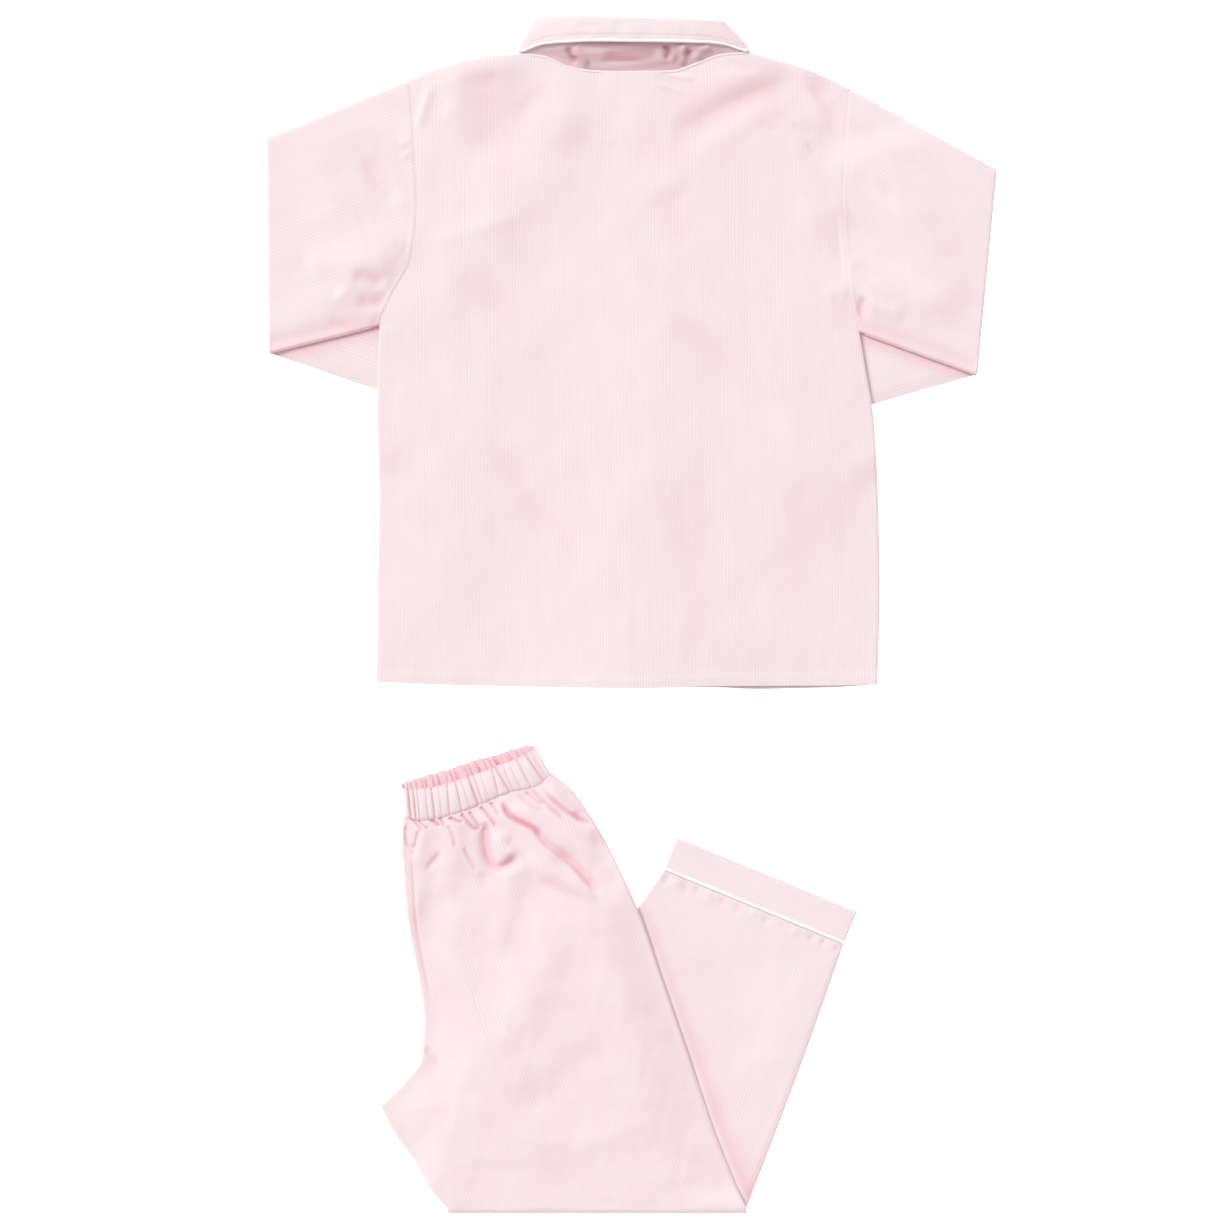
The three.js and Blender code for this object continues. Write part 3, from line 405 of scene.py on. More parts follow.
def mesh_object(
    name: str, points: Array, quads: Array, grain: Array, tint: Array | None
) -> bpy.types.Object:
    """Puts points and quads into a new mesh, with its grain as UVs and its painted shade."""
    mesh = bpy.data.meshes.new(name)
    mesh.from_pydata((points * MM).tolist(), [], quads.tolist())
    uv = mesh.uv_layers.new(name="grain")
    uv.data.foreach_set("uv", (grain[quads.reshape(-1)] * MM).astype(np.float32).reshape(-1))
    depth = mesh.attributes.new("painted_shade_and_seams", "FLOAT", "POINT")
    values = np.zeros(len(points)) if tint is None else tint.reshape(-1)
    depth.data.foreach_set("value", values.astype(np.float32))
    mesh.polygons.foreach_set("use_smooth", np.ones(len(mesh.polygons), bool))
    # the cut edges are sharp, so that the shading of the face doesn't turn into them
    sides = np.empty(len(mesh.loops), np.int32)
    mesh.loops.foreach_get("edge_index", sides)
    cut = mesh.attributes.new("sharp_edge", "BOOLEAN", "EDGE")
    cut.data.foreach_set("value", np.bincount(sides, minlength=len(mesh.edges)) == 1)
    mesh.update()
    piece = bpy.data.objects.new(name, mesh)
    bpy.context.scene.collection.objects.link(piece)
    return piece


def joined(pieces: Sequence[bpy.types.Object], name: str) -> bpy.types.Object:
    """Joins pieces into the first, which gets the name."""
    with bpy.context.temp_override(
        active_object=pieces[0], selected_editable_objects=list(pieces)
    ):
        bpy.ops.object.join()
    pieces[0].name = name
    pieces[0].data.name = name
    return pieces[0]


def thicken(piece: bpy.types.Object, thickness: float = CLOTH_THICKNESS) -> None:
    """Gives a sheet its thickness, inwards from the face that was drawn."""
    wall = piece.modifiers.new("cloth_wall", "SOLIDIFY")
    wall.thickness = thickness * MM
    wall.offset = -1.0
    wall.use_rim = True


# Finishes


def linear(colour: str) -> tuple[float, float, float, float]:
    """Turns an sRGB hex colour into linear values."""
    channels = [int(colour[k : k + 2], 16) / 255 for k in (0, 2, 4)]
    turned = [c / 12.92 if c <= 0.04045 else ((c + 0.055) / 1.055) ** 2.4 for c in channels]
    return (*turned, 1.0)


def add_node(
    tree: bpy.types.NodeTree, kind: str, settings: dict | None = None, links: dict | None = None
) -> bpy.types.Node:
    """Adds a node.

    Args:
        tree: the material's or world's tree.
        kind: the node's type.
        settings: properties by name, and input values by name or number.
        links: sockets that feed inputs, by the input's name or number.

    Returns:
        The node.
    """
    node = tree.nodes.new(kind)
    for key, value in (settings or {}).items():
        if isinstance(key, str) and hasattr(node, key):
            setattr(node, key, value)
        else:
            node.inputs[key].default_value = value
    for key, socket in (links or {}).items():
        tree.links.new(socket, node.inputs[key])
    return node


def new_material(name: str) -> tuple[bpy.types.Material, bpy.types.NodeTree]:
    """A material with an empty tree."""
    material = bpy.data.materials.new(name)
    material.use_nodes = True
    material.node_tree.nodes.clear()
    return material, material.node_tree


class Face(Enum):
    """Which side of the cloth shows, or the collar's copy with deeper painted shade."""

    OUTSIDE = "outside"
    INSIDE = "inside"
    COLLAR_PAINTED_SHADE = "collar_painted_shade"


@dataclass(frozen=True)
class StripedCotton:
    """Yarn-dyed plain-woven cotton: hairline stripes of pale pink warp on white.

    The stripes are 2.3 mm apart. The real threads are about 0.25 mm apart, too fine to show from
    here, so the weave is drawn as a soft grain of about 0.7 mm. The crease colour is painted
    shade: the mesh's attribute mixes it in where shade falls, and along some seam lines.
    """

    face: Face
    white: str = "f6efef"
    pink: str = "ebdadf"
    # crease: the colour of painted shade, mixed in by the mesh's attribute
    crease: str = "e8899a"
    stripe_pitch: float = 2.3
    stripe_wander: float = 5.0
    cloud: float = 16.0
    thread_grain: float = 0.7
    roughness: float = 0.88

    def make(self) -> bpy.types.Material:
        """The material's nodes: stripes by the cloth's grain, painted crease shade, weave and fibres."""
        material, tree = new_material(f"yarn_dyed_cotton_{self.face.value}")
        grain = add_node(tree, "ShaderNodeUVMap", {"uv_map": "grain"}).outputs["UV"]
        across = add_node(tree, "ShaderNodeSeparateXYZ", links={0: grain}).outputs["X"]
        # noise by its size in mm across and along the warp, its detail and its roughness: the warp
        # wanders a little over some centimetres, dyed threads lie closer together here and there,
        # what lies under such thin cloth shows through in slow faint clouds, and threads differ
        patterns = {
            "wander": (14.0, 60.0, 3.0, 0.5),
            "uneven": (9.0, 190.0, 2.0, 0.5),
            "clouds": (self.cloud, 3 * self.cloud, 4.0, 0.55),
            "threads": (self.thread_grain, 4 * self.thread_grain, 3.0, 0.6),
        }
        noise = {}
        for name, (wide, long, detail, rough) in patterns.items():
            scale = (1.0 / (wide * MM), 1.0 / (long * MM), 1.0)
            place = add_node(tree, "ShaderNodeMapping", {"Scale": scale}, {"Vector": grain}).outputs[0]
            settings = {"Scale": 1.0, "Detail": detail, "Roughness": rough}
            noise[name] = add_node(
                tree, "ShaderNodeTexNoise", settings, {"Vector": place}
            ).outputs["Fac"]
        shares = {}
        for name, low, high in (("uneven", 0.02, 0.32), ("clouds", 0.4, 0.6)):
            settings = {"From Min": 0.3, "From Max": 0.7, "To Min": low, "To Max": high}
            shares[name] = add_node(
                tree, "ShaderNodeMapRange", settings, {"Value": noise[name]}
            ).outputs[0]
        steps = (
            ("MULTIPLY_ADD", {1: self.stripe_wander * MM}, {0: noise["wander"], 2: across}),
            ("MULTIPLY", {1: 2 * math.pi / (self.stripe_pitch * MM)}, {}),
            ("SINE", {}, {}),
            ("MULTIPLY", {}, {1: shares["uneven"]}),
            ("ADD", {"use_clamp": True}, {1: shares["clouds"]}),
        )
        share = across
        for operation, settings, links in steps:
            settings = {"operation": operation, **settings}
            share = add_node(tree, "ShaderNodeMath", settings, {0: share, **links}).outputs[0]
        whites = {"data_type": "RGBA", 6: linear(self.white), 7: linear(self.pink)}
        cloth = add_node(tree, "ShaderNodeMix", whites, {0: share}).outputs[2]
        # painted shade: the mesh's attribute mixes the crease colour into the cloth
        depth = add_node(
            tree, "ShaderNodeAttribute", {"attribute_name": "painted_shade_and_seams"}
        ).outputs["Fac"]
        crease = {"data_type": "RGBA", 7: linear(self.crease)}
        tinted = add_node(tree, "ShaderNodeMix", crease, {0: depth, 6: cloth}).outputs[2]
        relief_settings = {"Strength": 0.25, "Distance": 0.12 * MM}
        bump = add_node(
            tree, "ShaderNodeBump", relief_settings, {"Height": noise["threads"]}
        ).outputs["Normal"]
        shader = add_node(
            tree,
            "ShaderNodeBsdfPrincipled",
            {
                "Roughness": self.roughness,
                "IOR": 1.45,
                "Specular IOR Level": 0.25,
                "Sheen Weight": 0.12,
                "Sheen Roughness": 0.5,
            },
            {"Base Color": tinted, "Normal": bump},
        )
        add_node(tree, "ShaderNodeOutputMaterial", links={"Surface": shader.outputs[0]})
        return material


@dataclass(frozen=True)
class CordedPiping:
    """White bias-cut cotton over a thin cord: smooth, with a faint slant of threads."""

    colour: str = "fdfbfa"
    thread_pitch: float = 0.8

    def make(self) -> bpy.types.Material:
        """The material's nodes: white cloth with slanting threads as bump."""
        material, tree = new_material("white_corded_piping")
        grain = add_node(tree, "ShaderNodeUVMap", {"uv_map": "grain"}).outputs["UV"]
        place = add_node(
            tree,
            "ShaderNodeMapping",
            {
                "Scale": (1.0 / (self.thread_pitch * MM), 1.0 / (self.thread_pitch * MM), 1.0),
                "Rotation": (0.0, 0.0, math.radians(45)),
            },
            {"Vector": grain},
        ).outputs[0]
        threads = add_node(
            tree, "ShaderNodeTexWave", {"Scale": 0.5, "Distortion": 0.6}, {"Vector": place}
        ).outputs["Fac"]
        bump = add_node(
            tree, "ShaderNodeBump", {"Strength": 0.2, "Distance": 0.1 * MM}, {"Height": threads}
        ).outputs["Normal"]
        shader = add_node(
            tree,
            "ShaderNodeBsdfPrincipled",
            {
                "Base Color": linear(self.colour),
                "Roughness": 0.75,
                "IOR": 1.45,
                "Specular IOR Level": 0.3,
                "Sheen Weight": 0.1,
            },
            {"Normal": bump},
        )
        add_node(tree, "ShaderNodeOutputMaterial", links={"Surface": shader.outputs[0]})
        return material


@dataclass(frozen=True)
class PearlyPlastic:
    """Moulded and tumbled polyester button: pearly white, with slow cloudy bands."""

    light: str = "f6f1f0"
    dark: str = "e3d9da"
    band: float = 5.0

    def make(self) -> bpy.types.Material:
        """The material's nodes: cloudy bands of two whites under a polished coat."""
        material, tree = new_material("pearly_moulded_polyester")
        place = add_node(tree, "ShaderNodeTexCoord").outputs["Object"]
        clouds = add_node(
            tree,
            "ShaderNodeTexNoise",
            {"Scale": 1.0 / (self.band * MM), "Detail": 3.0, "Distortion": 1.5},
            {"Vector": place},
        ).outputs["Fac"]
        colour = add_node(
            tree,
            "ShaderNodeMix",
            {"data_type": "RGBA", 6: linear(self.light), 7: linear(self.dark)},
            {0: clouds},
        ).outputs[2]
        shader = add_node(
            tree,
            "ShaderNodeBsdfPrincipled",
            {"Roughness": 0.28, "IOR": 1.53, "Coat Weight": 0.3, "Coat Roughness": 0.15},
            {"Base Color": colour},
        )
        add_node(tree, "ShaderNodeOutputMaterial", links={"Surface": shader.outputs[0]})
        return material


@dataclass(frozen=True)
class Wardrobe:
    """The finishes, made once."""

    outside: bpy.types.Material
    inside: bpy.types.Material
    collar_painted_shade: bpy.types.Material
    piping: bpy.types.Material
    plastic: bpy.types.Material

    @classmethod
    def make(cls) -> "Wardrobe":
        """Makes every finish."""
        return cls(
            StripedCotton(Face.OUTSIDE).make(),
            # the inside face is a darker, pinker copy: painted shade on the hidden layers that show
            # between the stacked edges
            StripedCotton(Face.INSIDE, white="f0dade", pink="e6c4cb").make(),
            # the collar's copy has a lighter cloth and a much darker crease colour: its leaf is painted
            # lighter, and the painted shade on the stand under the leaf is deeper
            StripedCotton(Face.COLLAR_PAINTED_SHADE, white="faf4f4", pink="f0e0e4", crease="b26375").make(),
            CordedPiping().make(),
            PearlyPlastic().make(),
        )


def dress(
    piece: bpy.types.Object, material: bpy.types.Material, nodes: Sequence[str] = ()
) -> None:
    """Gives a piece its finish, hides the nodes that it stands for, and puts it under its body."""
    piece.data.materials.clear()
    piece.data.materials.append(material)
    if nodes:
        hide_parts(*nodes)
    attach(piece, "root")
    log.info("%s: %d points", piece.name, len(piece.data.vertices))


# What lies under the fronts and the upper sleeves

COLLAR_PIPING_WIDTH = 2.6
FRONT_LEAF_BEYOND_SEAM = 8.0
FRONT_COLLAR_LENGTH = 92.0
STAND_WIDTH_AT_SIDE = 34.0
BUTTON_RADIUS = 5.75


@dataclass(frozen=True)
class SleeveForm:
    """Where a sleeve is folded under, and where its cuff lies."""

    name: str
    side: int
    fold_top: Place
    fold_bottom: Place
    cuff_top: Place
    cuff_bottom: Place
    stripe_slope: float
    folds: tuple[Fold, ...] = ()


@dataclass(frozen=True)
class NeckEnd:
    """Where the collar turns from the back to a front."""

    side: int
    x: float
    y: float

    def run(self) -> tuple[Place, Place]:
        """The way down the front's neckline, and the way from it to the collar's fold."""
        length = math.hypot(1, FRONT_NECK_SLOPE)
        along = (-self.side / length, -FRONT_NECK_SLOPE / length)
        to_fold = (-self.side * FRONT_NECK_SLOPE / length, 1 / length)
        return along, to_fold

    def corner(self, along_by: float, fold_by: float) -> Place:
        """A place that far along the neckline and that far towards the fold."""
        along, to_fold = self.run()
        return (
            self.x + along[0] * along_by + to_fold[0] * fold_by,
            self.y + along[1] * along_by + to_fold[1] * fold_by,
        )


NECK_ENDS = tuple(
    NeckEnd(side, *(float(c) for c in back_point(across, 1.0)))
    for side, across in ((-1, NECK_LEFT), (1, NECK_RIGHT))
)

LEFT_SLEEVE = SleeveForm(
    name="left_sleeve",
    side=-1,
    fold_top=(-292.0, 381.4),
    fold_bottom=(-290.2, 208.8),
    cuff_top=(-52, 282),
    cuff_bottom=(-88, 140),
    stripe_slope=21.0,
    folds=(
        Fold(((-212.9, 368.3), (-205.3, 351.5), (-196.1, 337.7), (-185.4, 325.5)), 8, -1.5, 0, 0.3),
        Fold(((-223.6, 271.9), (-211.4, 268.8), (-194.6, 262.7)), 6, -1.8, 0.2, 0.3, 0.1),
        Fold(((-220.8, 250.4), (-205.3, 246.6), (-189.9, 255.1)), 5.5, -2, 0.2, 0.3, 0.16),
        Fold(((-236.8, 261.4), (-217.5, 242.9), (-200.8, 231.8)), 7, 2.4, 0, 0.2),
        Fold(((-264.8, 282.2), (-232.8, 282.2), (-185.6, 271)), 12, 1.6, 0, 0.2),
        Fold(((-244.8, 234.2), (-209.8, 224.6), (-202.4, 221.4)), 5, -1, 0, 0.2, 0.12),
        Fold(((-202.2, 423), (-179.2, 419.6)), 3.2, -0.9, 0, 0.3),
        Fold(((-186.4, 375.8), (-175.2, 377)), 2.2, 0.8, 0, 0.3),
        Fold(((-184.8, 365.4), (-174.4, 368.6)), 2.6, 0.8, 0, 0.3),
        Fold(((-185.6, 371), (-175.2, 372.6)), 1.8, -0.5, 0, 0.3),
    ),
)
RIGHT_SLEEVE = SleeveForm(
    name="right_sleeve",
    side=1,
    fold_top=(292.8, 357.0),
    fold_bottom=(277.0, 191.4),
    cuff_top=(52, 279),
    cuff_bottom=(88, 138),
    stripe_slope=-30.0,
    folds=(
        Fold(((175.2, 389.4), (192.8, 381.4), (213.6, 363.8), (239.2, 346.2)), 9, -1.3, 0.2, 0.3),
        Fold(((176.8, 355.8), (189.6, 343), (215.2, 331.8)), 8, -0.8, 0, 0.3),
        Fold(((188, 254.2), (184, 247), (180.8, 237.4)), 4.5, -1.7, 0.3, 0.2, 0.14),
        Fold(((184.8, 251.8), (196, 245.4), (219.2, 237.4)), 6, 1.6, 0, 0.25),
        Fold(((180, 282.2), (184.8, 271), (192.8, 261.4)), 7, -0.9, 0, 0.3),
        Fold(((184.8, 227.8), (203.2, 224.6), (231.2, 215.8)), 7, -0.9, 0, 0.3, 0.06),
    ),
)
SLEEVES = (LEFT_SLEEVE, RIGHT_SLEEVE)


@dataclass(frozen=True)
class Underlay:
    """Something flat under the cloth: its outline, and how the cloth falls past it."""

    corners: tuple[Place, ...]
    margin: float = 36.0
    fall: float = 28.0
    bridge: float = 120.0

    def cover(self, x: Array, y: Array, bridged: bool = False) -> Array:
        """1 over it and its margin, falling smoothly to 0, slowly where the cloth bridges."""
        closed = (*self.corners, self.corners[0])
        distance = along_path(closed, x, y)[0]
        outline = np.array(closed)
        crosses = np.array(
            [
                (bx - ax) * (y - ay) - (by - ay) * (x - ax)
                for (ax, ay), (bx, by) in zip(outline[:-1], outline[1:])
            ]
        )
        inside = np.all(crosses >= 0, axis=0) | np.all(crosses <= 0, axis=0)
        away = np.where(inside, 0.0, distance)
        if bridged:
            start = 0.3 * self.margin
            return 1.0 - smoothstep(start, start + self.bridge, away)
        return 1.0 - smoothstep(self.margin, self.margin + self.fall, away)


def make_underlay() -> tuple[Underlay, ...]:
    """The forearms, the collar's front ends and the strip of buttons."""
    edge = -FRONT_LEAF_BEYOND_SEAM - COLLAR_PIPING_WIDTH
    half = BUTTON_RADIUS + 3.0
    low, high = PLACKET_ENDS
    strip = (
        (CENTRE_X - half, low),
        (CENTRE_X + half, low),
        (CENTRE_X + half, high),
        (CENTRE_X - half, high),
    )
    return (
        *(Underlay((s.fold_top, s.fold_bottom, s.cuff_bottom, s.cuff_top)) for s in SLEEVES),
        *(
            Underlay(
                (
                    end.corner(0, edge),
                    end.corner(FRONT_COLLAR_LENGTH, edge),
                    end.corner(FRONT_COLLAR_LENGTH, STAND_WIDTH_AT_SIDE),
                    end.corner(0, STAND_WIDTH_AT_SIDE),
                )
            )
            for end in NECK_ENDS
        ),
        Underlay(strip, margin=6.0, fall=24.0),
    )


UNDERLAY = make_underlay()


def underlay_height(x: Array, y: Array) -> Array:
    """How high the cloth is lifted by the two layers that lie under it."""
    return PAIR * np.max([part.cover(x, y) for part in UNDERLAY], axis=0)


def bridged_height(x: Array, y: Array, across: Array, from_edge: Array) -> Array:
    """The same with the fronts' lap, as the back shows it.

    Formula: away from its edges the cloth bridges in long soft slopes from what lifts it; the
    covers join as 1 less the product of what each leaves uncovered.
    """
    near = underlay_height(x, y) + lap_height(across)
    open_share = np.prod([1.0 - part.cover(x, y, bridged=True) for part in UNDERLAY], axis=0)
    lap = LAYER * (1.0 - smoothstep(0.0, LAP_BRIDGE, np.abs(across)))
    return mix(near, PAIR * (1.0 - open_share) + lap, smoothstep(0.0, EDGE_ZONE, from_edge))


def lap_height(across: Array) -> Array:
    """How high the lapped fronts lift what lies on them."""
    return LAYER * (1.0 - smoothstep(PLACKET_EDGE, PLACKET_FOLD_BACK, np.abs(across)))


# The broad folds that the jacket's and the trousers' solids have
JACKET_SOFT_FOLDS = (
    Fold(((-150, 420), (-60, 395)), 26, 1.6),
    Fold(((-60, 400), (-150, 250)), 34, 2),
    Fold(((90, 415), (150, 330)), 28, 1.8),
    Fold(((60, 380), (20, 120)), 44, 1.6),
    Fold(((-110, 200), (-150, 20)), 46, 1.6),
    Fold(((130, 240), (120, 0)), 46, 1.8),
    Fold(((-20, 60), (60, -30)), 38, 1.2),
    Fold(((-200, 250), (-262, 392)), 26, 2.2),
    Fold(((-186, 300), (-262, 240)), 17, 2),
    Fold(((182, 262), (250, 250)), 17, 2),
    Fold(((186, 400), (246, 270)), 26, 2.2),
)
BACK_FOLDS = (
    # the tint column paints shade; rows with no height are patches of painted shade only
    # the shoulders
    Fold(((-162.4, 418.2), (-124.8, 435.8), (-68.8, 442.2)), 13, 2.1, 0, 0.4),
    Fold(((-152.8, 381.4), (-104.8, 384.6), (-52, 411.8)), 20, -1.8, 0, 0.4, 0.05),
    Fold(((-152.8, 413.4), (-112.8, 415), (-68.8, 424.6)), 20, 0, 0, 0.4, 0.14),
    Fold(((27.2, 386.2), (83.2, 411.8), (139.2, 431)), 20, -0.9, 0, 0.3, 0.13),
    Fold(((39.2, 424.6), (87.2, 424.6), (135.2, 429.4)), 12, 0.8, 0, 0.4),
    Fold(((-56.8, 387.8), (-24.8, 389.4), (7.2, 397.4)), 22, -0.5, 0, 0.4),
    # broad ones
    Fold(((-156, 419.8), (-120.8, 408.6), (-68.8, 424.6)), 16, -0.5, 0, 0.45, 0.1),
    Fold(((-128.8, 395.8), (-100.8, 371.8), (-88.8, 339.8)), 18, -0.6, 0, 0.4, 0.04),
    Fold(((-72, 362.2), (-44.8, 371.8), (-20.8, 390.2)), 14, -0.4, 0, 0.4, 0.02),
    Fold(((2.4, 379.8), (27.2, 371.8), (53.6, 367.8)), 16, -0.6, 0, 0.4, 0.06),
    Fold(((29.6, 347.8), (34.4, 319.8), (40.8, 287)), 14, -1, 0, 0.3, 0.06),
    Fold(((59.2, 327.8), (91.2, 282.2), (117.6, 221.4)), 15, 0.8, 0, 0.45),
    Fold(((19.2, 234.2), (63.2, 215.8), (107.2, 167.8), (135.2, 139.8)), 15, -1.2, 0.3, 0.3, 0.02),
    Fold(((47.2, 251.8), (95.2, 211.8), (135.2, 167.8)), 14, 1, 0, 0.3),
    Fold(((-169.6, 294.2), (-128.8, 306.2), (-81.6, 323)), 7, 0.6, 0, 0.3),
    Fold(((-160.8, 282.2), (-112.8, 251.8), (-72.8, 211.8), (-34.4, 165.4)), 15, -1, 0.2, 0.3, 0.02),
    Fold(((-120.8, 147.8), (-75.2, 87.8), (-41.6, 43.8), (-24.8, 11.8)), 14, -1.3, 0.3, 0.3, 0.02),
    Fold(((-100.8, 159.8), (-56.8, 103.8), (-26.4, 63.8)), 13, 1, 0, 0.3),
    Fold(((-184.8, 211.8), (-160.8, 147.8), (-128.8, 75.8)), 17, 0.6, 0, 0.3),
    Fold(((-191.2, 163.8), (-176.8, 115.8), (-144.8, 43.8)), 17, -0.5, 0, 0.3, 0.02),
    Fold(((151.2, 115.8), (135.2, 59.8), (144.8, -20.2)), 18, -0.5, 0, 0.3, 0.02),
    Fold(((55.2, 107.8), (47.2, 43.8), (64.8, -28.2)), 18, -0.5, 0, 0.3, 0.02),
    Fold(((-3.2, 43.8), (-1.6, -4.2), (-2.4, -52.2)), 1.6, 0.22, 0, 0.15),
    Fold(((11.2, 43.8), (12, -4.2), (11.2, -52.2)), 1.6, 0.22, 0, 0.15),
    # across the left shoulder
    Fold(((-159.4, 428), (-167, 403.5), (-171.6, 385.2)), 4.5, 1.1, 0.2, 0.3),
    Fold(((-152.8, 426.2), (-152.8, 410.2), (-143.2, 402.2)), 10, -0.8, 0, 0.4),
    Fold(((-143.2, 429.4), (-120.8, 424.6), (-96.8, 434.2)), 8, -1, 0, 0.3),
    Fold(((-101.2, 394.4), (-79.8, 406.6), (-64.5, 429.6)), 11, -1, -0.3, 0.4, 0.05),
    Fold(((-53.8, 388.2), (-21.6, 367), (-3.2, 382.1)), 9, -0.35, -0.3, 0.4),
    Fold(((-125.6, 383), (-112.8, 371.8), (-111.2, 360.6)), 11, -0.5, 0, 0.4),
    # the long trough from the right shoulder down towards the middle
    Fold(
        (
            (27.2, 379.0), (57.8, 394.4), (85.4, 410.2), (109.9, 419.0), (138.4, 424.6),
        ),
        15, -1.9, -0.3, 0.2, 0.03,
    ),
    Fold(((47.2, 365.4), (83.2, 391.8), (140, 421.4)), 10, 1, 0, 0.35),
    Fold(((140.5, 424.9), (151.2, 414.2), (171.1, 389.7)), 5, -0.6, 0.3, 0.3, 0.03),
    Fold(((135.2, 419.8), (144.8, 408.6), (160.8, 386.2)), 5, 0.8, 0, 0.3),
    Fold(((73.1, 441.8), (88.5, 437.2), (100.7, 429.6)), 5, -0.7, 0, 0.4, 0.04),
    Fold(((76, 437.4), (88.8, 431.8), (101.6, 428.6)), 3.4, 0.5, 0, 0.4),
    # small creases beside the neck
    Fold(((27.2, 432.6), (39.5, 429.6), (53.3, 428)), 1.8, 0.8, 0, 0.3),
    Fold(((18.1, 424.9), (36.4, 418.8), (45.6, 412.7)), 1.6, 0.7, 0, 0.3),
    Fold(((103.2, 395.8), (109.6, 387.8), (117.6, 386.2)), 2, -0.5, 0, 0.3),
    Fold(((127.2, 395), (136.8, 385.4), (146.4, 384.6)), 2, -0.5, 0, 0.3),
    Fold(((140, 377.4), (148, 365.4)), 2, -0.5, 0, 0.3),
    Fold(((125.2, 346.9), (135.9, 337.7), (145.1, 337.7)), 1.8, 0.5, 0, 0.3),
    # at the right armpit
    Fold(((160.8, 323.8), (168.8, 299.8), (173.6, 263.8)), 9, -0.9, 0, 0.45),
    Fold(((152.8, 251.8), (165.6, 259.8), (175.2, 251.8)), 6, 0.7, 0, 0.3),
)
TROUSER_SOFT_FOLDS = (
    Fold(((-98, -158), (-62, -186)), 10, 3.4),
    Fold(((-112, -163), (-92, -200)), 10, 2.8),
    Fold(((-68, -142), (-34, -172)), 9, 3),
    Fold(((-138, -168), (-146, -212)), 10, 2.4),
    Fold(((-166, -172), (-170, -230)), 9, 1.8),
    Fold(((-90, -206), (-60, -300)), 26, 1.8),
    Fold(((-40, -230), (10, -360)), 30, 2),
    Fold(((-150, -300), (-90, -380)), 24, 1.8),
    Fold(((-165, -392), (-80, -420)), 22, 2),
)
